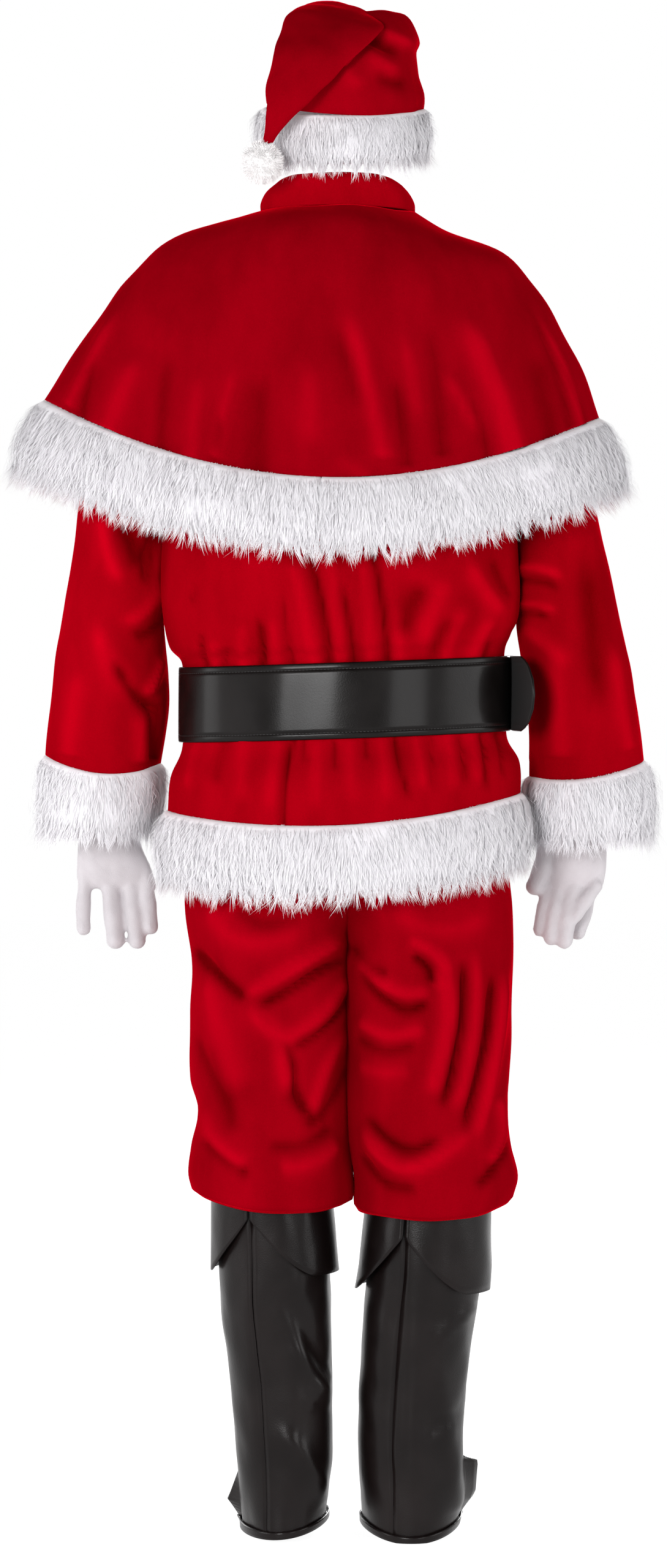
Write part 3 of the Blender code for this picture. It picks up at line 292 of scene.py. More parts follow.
JACKET_FOLDS = back_folds(
    (163, -441, 170, -470, 2, 3, 5, -3, 0, 0),
    (159, -495, 152, -542, 1.5, 3, 3.5, -6.5, 0, 1),
    (144, -505, 142, -542, 0, 5.5, 4, 4, 0, 1),
    (127, -512, 132, -542, 0, 3, 3, -4, 0, 1),
    (93, -477, 86, -541, -3.5, 5, 4, -7.5, 0, 1),
    (110, -484, 108, -541, 1.5, 7, 5, 4, 0, 1),
    (75, -477, 71, -541, 0, 5, 5, 4, 0, 1),
    (64, -448, 51, -541, 1.5, 4, 4, -4.5, 0, 1),
    (37, -399, 8, -539, -5, 6.5, 4, -7.5, 1, 1),
    (51, -427, 28, -539, -2, 6.5, 6.5, 4.5, 1, 1),
    (-1, -434, -20, -539, -1.5, 5.5, 5, -6.5, 0, 1),
    (12, -406, -4, -539, -2, 5.5, 5.5, 4.5, 1, 1),
    (-37, -395, -57, -538, -3.5, 4, 4, -8.5, 1, 1),
    (-27, -406, -38, -538, -1.5, 5.5, 5, 4.5, 1, 1),
    (-67, -463, -71, -537, 0, 5.5, 7, 4.5, 0, 1),
    (-108, -438, -73, -512, 7, 15.5, 14, -8.5, 0, 0),
    (-135, -427, -98, -530, 10, 14, 12.5, 6.5, 0, 0),
    (-137, -477, -105, -537, 4, 7, 10, -5.5, 0, 0),
    (-154, -463, -123, -535, 5.5, 8.5, 8.5, 5.5, 0, 1),
    (-147, -410, -203, -484, 5.5, 11.5, 10, 7.5, 0, 0),
    (-176, -406, -205, -466, 3, 5.5, 5.5, -6.5, 0, 0),
    (-186, -477, -154, -535, 4, 8.5, 7, 5.5, 0, 1),
    (-176, -505, -169, -535, 0, 3.5, 4, -4.5, 0, 1),
    (-47, -427, -147, -426, 0, 2, 2, 1.5, 0, 0),
    (178, -431, 86, -434, 0, 2, 2, 1, 0, 0),
    (166, -627, 178, -689, 1.5, 6.5, 6.5, 4, 1, 0),
    (130, -626, 142, -682, 3, 8.5, 7, -4.5, 1, 0),
    (108, -627, 113, -703, 1.5, 8.5, 8.5, 4.5, 1, 0),
    (52, -626, 64, -721, 3.5, 3.5, 3.5, -7.5, 1, 1),
    (69, -627, 79, -714, 2, 7, 5.5, 4.5, 1, 0),
    (39, -626, 37, -654, 0, 3, 3, -4.5, 1, 0),
    (23, -627, 26, -711, 0, 8.5, 7, 4, 1, 0),
    (3, -626, 2, -664, 0, 3, 3, -5.5, 1, 0),
    (-14, -626, -16, -703, 0, 7, 6.5, 4, 1, 0),
    (-32, -624, -34, -650, 0, 3, 3, -4.5, 1, 0),
    (-50, -624, -57, -703, -1.5, 7, 6.5, 4, 1, 0),
    (-65, -623, -85, -700, 2, 4, 4, -6.5, 1, 0),
    (-88, -623, -99, -689, -1.5, 5.5, 5.5, 4.5, 1, 0),
    (-106, -622, -110, -689, 0, 3.5, 4, -4.5, 1, 0),
    (-126, -621, -135, -689, -1.5, 7, 6.5, 4.5, 1, 0),
    (-140, -621, -147, -682, -1.5, 3.5, 3.5, -5.5, 1, 0),
    (-154, -620, -163, -682, -1.5, 5.5, 5, 4, 1, 0),
    (-166, -619, -174, -689, -1.5, 3.5, 3.5, -6.5, 1, 0),
    (-184, -618, -194, -675, -1.5, 3.5, 3.5, -5.5, 1, 0),
)
SLEEVE_FOLDS = back_folds(
    (254, -375, 231, -426, -3, 11.5, 10, -8, 1, 0),
    (275, -368, 251, -447, 4.5, 8.5, 10, 8, 1, 0),
    (218, -382, 227, -447, 2, 6, 6, -9, 1, 0),
    (209, -382, 215, -484, 2, 4.5, 4.5, 6.5, 1, 0),
    (209, -447, 257, -491, -6, 7, 8.5, 8, 1, 0),
    (209, -484, 244, -505, -4.5, 6, 7, -8, 1, 0),
    (287, -476, 231, -585, 7, 11.5, 10, 9, 0, 0),
    (266, -527, 221, -592, 6.5, 5, 8.5, -11.5, 0, 1),
    (209, -534, 231, -577, -3, 5, 6, 8, 1, 0),
    (276, -505, 244, -563, 4.5, 7, 6, -5, 0, 0),
    (215, -577, 220, -650, 1.5, 6, 5, -8, 0, 1),
    (233, -592, 234, -650, 0, 8.5, 6.5, 5, 0, 1),
    (305, -534, 318, -642, 1.5, 13, 11.5, 5, 0, 1),
    (-212, -424, -267, -437, -6, 6, 6.5, 8, 1, 0),
    (-214, -439, -263, -449, -4.5, 4.5, 4.5, -6.5, 1, 0),
    (-215, -466, -260, -476, -3.5, 4.5, 5, 6.5, 1, 0),
    (-217, -478, -251, -484, -3, 3, 3.5, -6.5, 1, 0),
    (-217, -382, -212, -433, 1.5, 4.5, 6, -6.5, 1, 0),
    (-220, -498, -273, -541, -3.5, 10, 10, 5, 1, 0),
    (-291, -390, -313, -606, 3, 14.5, 14.5, -6.5, 0, 0),
    (-255, -505, -262, -642, 0, 14.5, 13, 5, 0, 1),
    (-324, -505, -345, -635, 1.5, 10, 8.5, 5, 0, 1),
)
TROUSER_FOLDS = long_folds(
    (-10.5, 8, (170, -870), (140, -900), (105, -930)),
    (11.5, 8, (110, -925), (70, -900), (25, -875), (-10, -860)),
    (-10.5, 6, (100, -940), (55, -915), (20, -895), (-10, -885)),
    (8, 8, (70, -975), (30, -955), (5, -930), (-10, -905)),
    (-7, 4.5, (60, -990), (25, -970), (0, -945), (-10, -920)),
    (11.5, 11, (105, -930), (85, -955), (65, -975), (60, -1010), (55, -1045)),
    (-12.5, 6.5, (70, -965), (55, -1000), (50, -1040), (35, -1065), (25, -1080)),
    (7, 8, (-10, -965), (15, -1010), (30, -1055), (40, -1075)),
    (-5.5, 6, (-10, -1010), (5, -1045), (25, -1075)),
    (7, 20, (160, -895), (145, -945), (130, -990), (110, -1040)),
    (-5.5, 10, (170, -965), (150, -1010), (130, -1050), (120, -1090)),
    (8, 11, (170, -1060), (140, -1100), (105, -1125)),
    (-7, 6.5, (160, -1095), (130, -1120), (100, -1135)),
    (7, 11, (70, -1125), (30, -1120), (-5, -1100)),
    (-5.5, 7, (85, -1100), (40, -1100), (5, -1080)),
    (5.5, 14.5, (155, -815), (130, -850), (85, -860), (30, -840)),
    (-4.5, 8.5, (120, -820), (85, -840), (40, -830)),
    (-7, 6, (-15, -865), (-35, -890), (-60, -900)),
    (9, 8, (-20, -875), (-45, -905), (-80, -920), (-110, -915)),
    (-9, 6, (-25, -895), (-50, -925), (-80, -940), (-110, -930)),
    (10.5, 7, (-80, -855), (-110, -870), (-125, -890), (-120, -920)),
    (-9, 5, (-85, -875), (-105, -890), (-110, -910)),
    (9, 10, (-125, -890), (-130, -945), (-120, -1000), (-110, -1045)),
    (-11.5, 6.5, (-145, -875), (-145, -945), (-135, -1000), (-120, -1060)),
    (7, 8, (-160, -865), (-160, -945), (-150, -1010), (-135, -1065)),
    (-10.5, 6, (-180, -895), (-175, -965), (-160, -1030), (-145, -1090)),
    (8, 7, (-195, -890), (-190, -965), (-175, -1045), (-160, -1095)),
    (7, 9, (-20, -955), (-60, -970), (-105, -960)),
    (-5.5, 6.5, (-20, -975), (-55, -990), (-95, -980)),
    (4.5, 10, (-20, -1010), (-55, -1015), (-85, -1010)),
    (10.5, 9, (-25, -1080), (-55, -1115), (-85, -1125), (-125, -1105), (-160, -1080)),
    (-8, 6.5, (-30, -1065), (-60, -1095), (-90, -1105), (-125, -1090)),
    (-7, 6, (-25, -1110), (-55, -1145), (-95, -1150)),
    (8, 8, (-190, -1045), (-195, -1090), (-175, -1125)),
    (-8, 6, (-205, -1095), (-185, -1125), (-160, -1150)),
    (4.5, 12.5, (-60, -820), (-95, -840), (-135, -845), (-185, -825)),
)
BOOT_FOLDS = folds(
    (1, 48, -1160, 42, -1540, 4, 16, 12, 4, 0, 0),
    (1, 78, -1430, 10, -1530, -4, 12, 10, 5.5, 0, 1),
    (1, 64, -1270, 14, -1372, 3, 8, 10, -5.5, 0, 1),
    (1, 56, -1330, 12, -1410, 3, 7, 8, 5, 0, 1),
    (1, 100, -1180, 94, -1500, 3, 12, 14, 3.5, 0, 0),
    (1, 10, -1385, 44, -1420, 4, 7, 8, 4.5, 1, 0),
    (1, -70, -1200, -64, -1540, -3, 12, 12, -4, 0, 0),
    (1, -86, -1220, -90, -1540, 2, 10, 14, 3.5, 0, 0),
    (1, -98, -1300, -146, -1540, -4, 12, 14, 4.5, 0, 1),
    (1, -160, -1300, -104, -1345, 4, 8, 10, 4.5, 1, 0),
    (1, -152, -1420, -96, -1450, 4, 8, 10, -4, 1, 0),
    (-1, 110, -1440, 20, -1475, 6, 14, 16, 3.5, 0, 0),
    (-1, 110, -1290, 30, -1370, 4, 14, 16, -2.5, 0, 0),
    (-1, -150, -1436, -40, -1470, 6, 14, 16, 3.5, 0, 0),
    (-1, -50, -1280, -130, -1370, 4, 14, 16, -2.5, 0, 0),
)
HAT_FOLDS = folds(
    (1, -36, 210, -88, 190, 3, 6, 9, 6, 0, 1),
    (1, -22, 200, -74, 178, 4, 8, 9, -8, 0, 0),
    (1, -30, 178, -76, 152, 4, 10, 10, 6, 0, 0),
    (1, -40, 152, -82, 140, 2, 8, 9, -6, 0, 0),
    (1, 0, 160, -30, 134, 2, 9, 10, 4, 0, 0),
    (-1, 40, 190, -40, 170, 6, 9, 10, 5, 0, 0),
    (-1, 50, 160, -60, 150, 4, 8, 8, -4, 0, 0),
)
NO_FOLDS = []
for hung, raised in ((CAPE_FOLDS, -0.004), (JACKET_FOLDS, 0.0), (SLEEVE_FOLDS, 0.0), (TROUSER_FOLDS, 0.006)):
    hung += turned_to_front(hung, raised)

# ------------------------------------------------------------------ surfaces


def spread(first, last, steps):
    return np.linspace(first, last, steps + 1)


def rows_at(table, place):
    """Rows of a table at places between its rows, on a smooth curve through them
    (Catmull-Rom in each column)."""
    place = np.asarray(place, float)
    first = np.minimum(place.astype(int), len(table) - 2)
    t = (place - first)[..., None]
    p0 = table[np.maximum(first - 1, 0)]
    p1 = table[first]
    p2 = table[first + 1]
    p3 = table[np.minimum(first + 2, len(table) - 1)]
    bend = 2 * p0 - 5 * p1 + 4 * p2 - p3
    twist = 3 * (p1 - p2) + p3 - p0
    return p1 + 0.5 * t * (p2 - p0 + t * (bend + t * twist))


def place_of_height(table, z):
    """Where in a table its height column reaches z, straight between its rows."""
    heights = table[:, 0]
    return np.interp(-np.asarray(z, float), -heights, np.arange(len(table)))


def rows_at_height(table, z):
    """Rows of a table at heights z, with the height itself put back exactly."""
    rows = rows_at(table, place_of_height(table, z))
    rows[..., 0] = z
    return rows


def ring(row, angle):
    """Points of sections at angles in degrees: the middle plus half the width times the
    cosine and half the depth times the sine, lowered by tilt, drop and pitch."""
    z, left, right, back, front, tilt, drop, pitch = np.moveaxis(np.asarray(row), -1, 0)
    turn = np.radians(angle)
    across = (left - right) / 2 * np.cos(turn)
    along = (back - front) / 2 * np.sin(turn)
    fall = tilt * across + drop * np.sin(turn) ** 2 + pitch * along
    points = ((left + right) / 2 + across, (back + front) / 2 + along, z - fall)
    return np.stack(np.broadcast_arrays(*points), -1)


def ring_outward(row, angle):
    """The level direction straight out of a section: cosine over half the width, sine
    over half the depth."""
    left, right, back, front = np.moveaxis(np.asarray(row), -1, 0)[1:5]
    turn = np.radians(angle)
    x = np.cos(turn) / (left - right)
    y = np.sin(turn) / (back - front)
    x, y = np.broadcast_arrays(x, y)
    return unit(np.stack((x, y, np.zeros_like(x)), -1))


def unit(vectors):
    return vectors / np.maximum(np.linalg.norm(vectors, axis=-1, keepdims=True), 1e-9)


def swollen(row, by):
    """The same sections, larger by a distance all round."""
    shift = np.zeros(SECTION_COLUMNS)
    shift[1:5] = (1, -1, 1, -1)
    return row + shift * np.asarray(by)[..., None]


def ease(t):
    t = np.clip(t, 0.0, 1.0)
    return t * t * (3.0 - 2.0 * t)


def grid_normals(grid, wrap):
    """Unit normals of a grid of points from the cross product of its two slopes. Rows run
    down and columns run anticlockwise, so the normals point outwards."""
    wide = np.concatenate((grid[:, -1:], grid, grid[:, :1]), 1) if wrap else grid
    around = np.gradient(wide, axis=1)
    around = around[:, 1:-1] if wrap else around
    down = np.gradient(grid, axis=0)
    return unit(np.cross(down, around))


def along_line(x, z, knots, wide):
    """A long fold's share at each point: a bell of the distance to the smooth line through
    its knots, fading over the first and last fifth of its length."""
    curve = rows_at(knots, spread(0.0, len(knots) - 1.0, 8 * (len(knots) - 1)))
    start, step = curve[:-1], np.diff(curve, axis=0)
    from_x = x[..., None] - start[:, 0]
    from_z = z[..., None] - start[:, 1]
    share = np.clip((from_x * step[:, 0] + from_z * step[:, 1]) / np.sum(step**2, 1), 0.0, 1.0)
    apart = np.hypot(from_x - share * step[:, 0], from_z - share * step[:, 1])
    nearest = np.argmin(apart, -1)[..., None]
    away = np.take_along_axis(apart, nearest, -1)[..., 0]
    place = (nearest[..., 0] + np.take_along_axis(share, nearest, -1)[..., 0]) / len(step)
    return np.exp(-(away / wide) ** 1.7) * ease(place / 0.2) * ease((1.0 - place) / 0.2)


def fold_heights(grid, normals, table):
    """How far folds push each point: across a fold's line a bell with its own width on
    each hand, along it a soft rise and fall, except where an end is open."""
    x, z = grid[..., 0], grid[..., 2]
    total = np.zeros(x.shape)
    for fold in table:
        facing = np.clip(fold["side"] * normals[..., 1] * 1.6, 0.0, 1.0)
        if "line" in fold:
            total += fold["height"] * facing * along_line(x, z, fold["line"], fold["wide"])
            continue
        line = np.array((fold["x1"] - fold["x0"], fold["z1"] - fold["z0"]))
        length = np.hypot(*line)
        along = ((x - fold["x0"]) * line[0] + (z - fold["z0"]) * line[1]) / length**2
        aside = ((x - fold["x0"]) * line[1] - (z - fold["z0"]) * line[0]) / length
        inside = np.clip(along, 0.0, 1.0)
        aside = aside + fold["bow"] * 4 * inside * (1 - inside)
        wide = np.where(aside > 0, fold["wide_right"], fold["wide_left"])
        top = 1.0 if fold["open_top"] else ease(along / 0.3)
        low = 1.0 if fold["open_low"] else ease((1.0 - along) / 0.3)
        past = np.clip(np.maximum(-along, along - 1.0) * length / 0.004, 0.0, 1.0)
        total += fold["height"] * facing * top * low * (1 - past) * np.exp(-np.abs(aside / wide) ** 1.7)
    return total


def unevenness(points, height, longest, seed, waves=14):
    """A gentle unevenness of cloth: a sum of seeded sine waves in random directions, each
    shorter one lower, so that no two stretches are alike."""
    random = np.random.default_rng(seed)
    total = np.zeros(points.shape[:-1])
    for _ in range(waves):
        length = longest * random.uniform(0.25, 1.0)
        direction = unit(random.normal(size=3) * (1.0, 1.0, 0.6))
        phase = random.uniform(0, TAU)
        total += (length / longest) * np.sin(points @ direction * TAU / length + phase)
    return total * height / np.sqrt(waves / 2)


def draped(grid, table, wrap=False, height=0.0010, longest=0.11, seed=1, highest=1.0):
    """A grid pushed along its normals by its folds and by a gentle unevenness, nowhere
    more than highest."""
    normals = grid_normals(grid, wrap)
    push = fold_heights(grid, normals, table) + unevenness(grid, height, longest, seed)
    return grid + normals * np.minimum(push, highest)[..., None]


def belt_room(grid):
    """How far the jacket may stand out: little under the belt, more away from it."""
    middle = BELT_TOP[0] - BELT_HEIGHT / 2
    return 0.0016 + 0.30 * np.maximum(np.abs(grid[..., 2] - middle) - BELT_HEIGHT / 2 - 0.004, 0.0)


def fold_shares(grid, table, wrap):
    """-1 in a deep trough, 0 on flat cloth and 1 on a high ridge, for painted shade in the troughs and a painted
    highlight on the ridges of the velvet.
    """
    return np.clip(fold_heights(grid, grid_normals(grid, wrap), table) / 0.007, -1.0, 1.0)


# ------------------------------------------------------------------ meshes


def mesh_object(name, points, faces, material):
    mesh = bpy.data.meshes.new(name)
    mesh.from_pydata(points.reshape(-1, 3), [], faces)
    mesh.materials.append(material)
    mesh.shade_smooth()
    piece = bpy.data.objects.new(name, mesh)
    bpy.context.scene.collection.objects.link(piece)
    return piece


def grid_faces(rows, columns, wrap=False):
    """Quads of a grid whose rows run down and columns anticlockwise, facing outwards."""
    across = columns if wrap else columns - 1
    r, c = np.meshgrid(np.arange(rows - 1), np.arange(across), indexing="ij")
    n = (c + 1) % columns
    quads = np.stack((r * columns + c, (r + 1) * columns + c, (r + 1) * columns + n, r * columns + n), -1)
    return quads.reshape(-1, 4)


def finish_piece(piece, nodes):
    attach(piece, "root")
    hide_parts(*nodes)
    return piece


def cloth_piece(name, grid, wall, material, nodes, wrap=False, table=()):
    """One cut piece: a fine grid with a wall built outwards, and, given folds, their shares as a point attribute for
    the velvet's painted fold shade and highlight.
    """
    rows, columns = grid.shape[:2]
    piece = mesh_object(name, grid, grid_faces(rows, columns, wrap), material)
    if len(table):
        # painted shade in fold troughs and painted highlight on fold ridges, stored per point for the velvet
        wear_and_fold_shade = piece.data.attributes.new("wear_and_fold_shade", "FLOAT", "POINT")
        wear_and_fold_shade.data.foreach_set("value", fold_shares(grid, table, wrap).astype(np.float32).ravel())
    solid = piece.modifiers.new("wall", "SOLIDIFY")
    solid.thickness = wall
    solid.offset = 1.0
    return finish_piece(piece, nodes)


# ------------------------------------------------------------------ materials


class Nodes:
    """Short hand for building a node tree: add a node, join a value or socket to it."""

    def __init__(self, tree):
        self.tree = tree

    def add(self, kind, **inputs):
        node = self.tree.nodes.new("ShaderNode" + kind)
        for name, value in inputs.items():
            self.feed(node, name.replace("_", " "), value)
        return node

    def feed(self, node, name, value):
        socket = node.inputs[int(name)] if name.isdigit() else node.inputs[name]
        if isinstance(value, bpy.types.NodeSocket):
            self.tree.links.new(value, socket)
        else:
            socket.default_value = value

    def noise(self, vector, scale, detail=2.0, roughness=0.5):
        node = self.add("TexNoise", Vector=vector, Scale=scale, Detail=detail, Roughness=roughness)
        return node.outputs["Fac"]

    def between(self, value, low, high, to_low=0.0, to_high=1.0):
        node = self.add("MapRange")
        for name, amount in zip(("Value", "From Min", "From Max", "To Min", "To Max"),
                                (value, low, high, to_low, to_high)):
            self.feed(node, name, amount)
        return node.outputs["Result"]

    def math(self, operation, first, second):
        node = self.add("Math")
        node.operation = operation
        self.feed(node, "0", first)
        self.feed(node, "1", second)
        return node.outputs[0]

    def mix(self, factor, first, second):
        node = self.add("Mix")
        node.data_type = "RGBA"
        for index, value in ((0, factor), (6, first), (7, second)):
            self.feed(node, str(index), value)
        return node.outputs[2]


def new_group(name, inputs, outputs):
    """An empty node group with named inputs (name, kind, value) and outputs (name, kind)."""
    group = bpy.data.node_groups.new(name, "ShaderNodeTree")
    for label, kind, value in inputs:
        socket = group.interface.new_socket(label, in_out="INPUT", socket_type="NodeSocket" + kind)
        socket.default_value = value
    for label, kind in outputs:
        group.interface.new_socket(label, in_out="OUTPUT", socket_type="NodeSocket" + kind)
    return group, group.nodes.new("NodeGroupInput"), group.nodes.new("NodeGroupOutput")


def velvet_nap_group():
    """Nap of velvet: cloudy strokes where the pile leans one way or the other, and the fine fuzz of the pile itself,
    with painted shade in the fold troughs and a painted highlight on the fold ridges."""
    group, entry, leave = new_group(
        "velvet_nap",
        [("Dark", "Color", (0.2, 0, 0, 1)), ("Bright", "Color", (0.6, 0, 0.02, 1)), ("Stroke", "Float", 16.0)],
        [("Color", "Color"), ("Height", "Float")],
    )
    n = Nodes(group)
    place = n.add("TexCoord").outputs["Object"]
    upright = n.add("VectorMath", **{"1": (1.0, 1.0, 0.45)})
    upright.operation = "MULTIPLY"
    group.links.new(place, upright.inputs[0])
    stroke = n.noise(upright.outputs[0], entry.outputs["Stroke"], 4.0, 0.55)
    # painted fold light: base colour darker in troughs and lighter on ridges
    wear_and_fold_shade = n.add("Attribute")
    wear_and_fold_shade.attribute_name = "wear_and_fold_shade"
    ridge = n.math("MULTIPLY", wear_and_fold_shade.outputs["Fac"], 0.46)
    patch = n.math("ADD", n.between(stroke, 0.30, 0.72, 0.34, 0.62), ridge)
    fuzz = n.noise(place, 900.0, 2.0, 0.6)
    mixed = n.math("ADD", n.math("MULTIPLY", patch, 0.72), n.math("MULTIPLY", fuzz, 0.28))
    group.links.new(n.mix(mixed, entry.outputs["Dark"], entry.outputs["Bright"]), leave.inputs["Color"])
    wrinkle = n.noise(place, 60.0, 3.0, 0.6)
    height = n.math("ADD", n.math("MULTIPLY", wrinkle, 0.75), n.math("MULTIPLY", fuzz, 0.25))
    group.links.new(height, leave.inputs["Height"])
    return group


def leather_grain_group():
    """Grain of leather: small cells with soft creases, rubbed lighter in cloudy patches."""
    group, entry, leave = new_group(
        "leather_grain",
        [("Dark", "Color", (0.01, 0.01, 0.01, 1)), ("Rubbed", "Color", (0.05, 0.04, 0.04, 1)),
         ("Cells", "Float", 700.0), ("Roughness", "Float", 0.35)],
        [("Color", "Color"), ("Roughness", "Float"), ("Height", "Float")],
    )
    n = Nodes(group)
    place = n.add("TexCoord").outputs["Object"]
    cells = n.add("TexVoronoi", Vector=place, Scale=entry.outputs["Cells"])
    crease = n.noise(place, 90.0, 4.0, 0.6)
    cloud = n.between(n.noise(place, 14.0, 3.0, 0.5), 0.35, 0.75)
    group.links.new(n.mix(cloud, entry.outputs["Dark"], entry.outputs["Rubbed"]), leave.inputs["Color"])
    rough = n.math("ADD", entry.outputs["Roughness"], n.math("MULTIPLY", cloud, 0.10))
    group.links.new(rough, leave.inputs["Roughness"])
    height = n.math("ADD", n.math("MULTIPLY", cells.outputs["Distance"], 0.35), n.math("MULTIPLY", crease, 0.65))
    group.links.new(height, leave.inputs["Height"])
    return group


GROUPS = {"nap": velvet_nap_group(), "grain": leather_grain_group()}


def new_material(name, **constants):
    """A Principled material; its number inputs are set on the shader itself."""
    material = bpy.data.materials.new(name)
    material.use_nodes = True
    shader = material.node_tree.nodes["Principled BSDF"]
    for key, value in constants.items():
        shader.inputs[key.replace("_", " ")].default_value = value
    return material, Nodes(material.node_tree), shader


def place_group(nodes, group, **values):
    node = nodes.tree.nodes.new("ShaderNodeGroup")
    node.node_tree = GROUPS[group]
    for name, value in values.items():
        nodes.feed(node, name, value)
    return node


def bump_into(nodes, shader, height, strength, distance):
    bump = nodes.add("Bump", Strength=strength, Distance=distance, Height=height)
    nodes.tree.links.new(bump.outputs["Normal"], shader.inputs["Normal"])


def velvet_material(name, shade_scale):
    """Velvet made darker by a scale: the smaller it is, the darker its colours and sheen, as painted shade for how the
    light falls on that garment.
    """
    material, n, shader = new_material(name, Roughness=0.80, Sheen_Weight=0.50 * shade_scale, Sheen_Roughness=0.30)
    shader.inputs["Sheen Tint"].default_value = (1.0, 0.0, 0.012, 1.0)
    shader.inputs["Specular IOR Level"].default_value = 0.0
    dark = (0.065 * shade_scale**2, 0.0, 0.0001, 1)
    bright = (0.43 * shade_scale, 0.0, 0.0070, 1)
    nap = place_group(n, "nap", Dark=dark, Bright=bright, Stroke=16.0)
    n.tree.links.new(nap.outputs["Color"], shader.inputs["Base Color"])
    bump_into(n, shader, nap.outputs["Height"], 0.35, 0.0016)
    return material


def fur_material(name, root, end):
    """White pile, greyer towards its roots by the pile's own attribute: painted shade deep in the pile. A skin without
    that attribute takes the grey root colour all over.
    """
    material, n, shader = new_material(name, Roughness=0.9, Sheen_Weight=0.3)
    tip = n.add("Attribute")
    tip.attribute_name = "tip"
    colour = n.mix(tip.outputs["Fac"], root, end)
    n.tree.links.new(colour, shader.inputs["Base Color"])
    return material


def leather_material(name, dark, wear_and_fold_shade, roughness, coat, shine):
    material, n, shader = new_material(name, Coat_Weight=coat, Coat_Roughness=0.20)
    shader.inputs["Specular IOR Level"].default_value = shine
    grain = place_group(n, "grain", Dark=dark, Rubbed=wear_and_fold_shade, Cells=700.0, Roughness=roughness)
    for output, target in (("Color", "Base Color"), ("Roughness", "Roughness")):
        n.tree.links.new(grain.outputs[output], shader.inputs[target])
    bump_into(n, shader, grain.outputs["Height"], 0.30, 0.0008)
    return material


def knit_material():
    """Fine knit: a cloudy tone in its colour and small round cells as a bump for its loops."""
    material, n, shader = new_material("white_knit", Roughness=0.9, Sheen_Weight=0.25)
    place = n.add("TexCoord").outputs["Object"]
    cloud = n.noise(place, 50.0, 3.0, 0.6)
    colour = n.mix(cloud, (0.43, 0.40, 0.42, 1), (0.51, 0.48, 0.50, 1))
    n.tree.links.new(colour, shader.inputs["Base Color"])
    loops = n.add("TexVoronoi", Vector=place, Scale=900.0)
    bump_into(n, shader, loops.outputs["Distance"], 0.35, 0.0006)
    return material


def plain_material(name, colour, roughness):
    material, _, shader = new_material(name, Roughness=roughness)
    shader.inputs["Base Color"].default_value = colour
    return material


def gilt_material():
    """Polished gilt with faint handling marks in its roughness."""
    material, n, shader = new_material("gilt_metal", Metallic=1.0)
    shader.inputs["Base Color"].default_value = (0.78, 0.56, 0.20, 1.0)
    place = n.add("TexCoord").outputs["Object"]
    n.tree.links.new(n.between(n.noise(place, 120.0, 3.0), 0.3, 0.7, 0.18, 0.32), shader.inputs["Roughness"])
    return material


# the cape, trouser and hat copies are darker: painted shade for how the light falls on those garments
RED = velvet_material("red_velvet", 1.0)
CAPE_RED = velvet_material("red_velvet_cape_shaded", 0.87)
TROUSER_RED = velvet_material("red_velvet_trousers_shaded", 0.88)
HAT_RED = velvet_material("red_velvet_hat_shaded", 0.88)
FUR = fur_material("white_fur", (0.69, 0.672, 0.700, 1), (0.77, 0.757, 0.780, 1))
# a lighter copy of the fur: painted light against the shade that the pompom's own lumps and hairs cast
PUFF = fur_material("white_fur_pompom", (0.80, 0.785, 0.790, 1), (0.90, 0.885, 0.885, 1))
BLACK = leather_material("black_leather", (0.0030, 0.0022, 0.0020, 1), (0.0070, 0.0055, 0.0052, 1), 0.34, 0.10, 0.09)
BROWN = leather_material("brown_leather", (0.0036, 0.0021, 0.0020, 1), (0.0080, 0.0052, 0.0050, 1), 0.29, 0.10, 0.12)
WHITE = knit_material()
THREAD = plain_material("thread", (0.012, 0.011, 0.011, 1), 0.6)
BACKING = plain_material("backing", (0.0030, 0.0026, 0.0025, 1), 0.85)
GILT = gilt_material()

# ------------------------------------------------------------------ cape


def stack_grid(table, angles, places):
    """A grid over angles (across) and places in a table of sections (down)."""
    return ring(rows_at(table, places)[:, None, :], np.asarray(angles)[None, :])


SEAM_DEGREES = 0.015


def make_cape():
    angles = {
        "cape_back": (0.0, 180.0, 120),
        "cape_front_right": (180.0, 270.0, 50),
        "cape_front_left": (270.0, 360.0, 50),
    }
    for node, (start, end, columns) in angles.items():
        turn = spread(start + SEAM_DEGREES, end - SEAM_DEGREES, columns)
        grid = stack_grid(CAPE, turn, spread(0.02, len(CAPE) - 1.0, 44))
        grid = draped(grid, CAPE_FOLDS, height=0.0016, longest=0.16, seed=3)
        piece = cloth_piece(node + "_velvet", grid, VELVET, CAPE_RED, [node], table=CAPE_FOLDS)
    turn = spread(-85.5, 265.5, 110)
    lean = np.sin(np.radians(turn))
    fall = COLLAR_SIDE_FALL * (1.0 - np.abs(lean)) ** 1.5 + COLLAR_FRONT_FALL * np.maximum(-lean, 0.0)
    grid = stack_grid(COLLAR, turn, spread(0.0, len(COLLAR) - 1.0, 12))
    grid[..., 2] -= fall * np.clip(grid[..., 2] / COLLAR[0][0], 0.0, 1.0)
    grid = draped(grid, NO_FOLDS, height=0.0010, longest=0.07, seed=5)
    collar = cloth_piece("cape_collar_velvet", grid, VELVET, RED, ["cape_collar"])


# ------------------------------------------------------------------ jacket


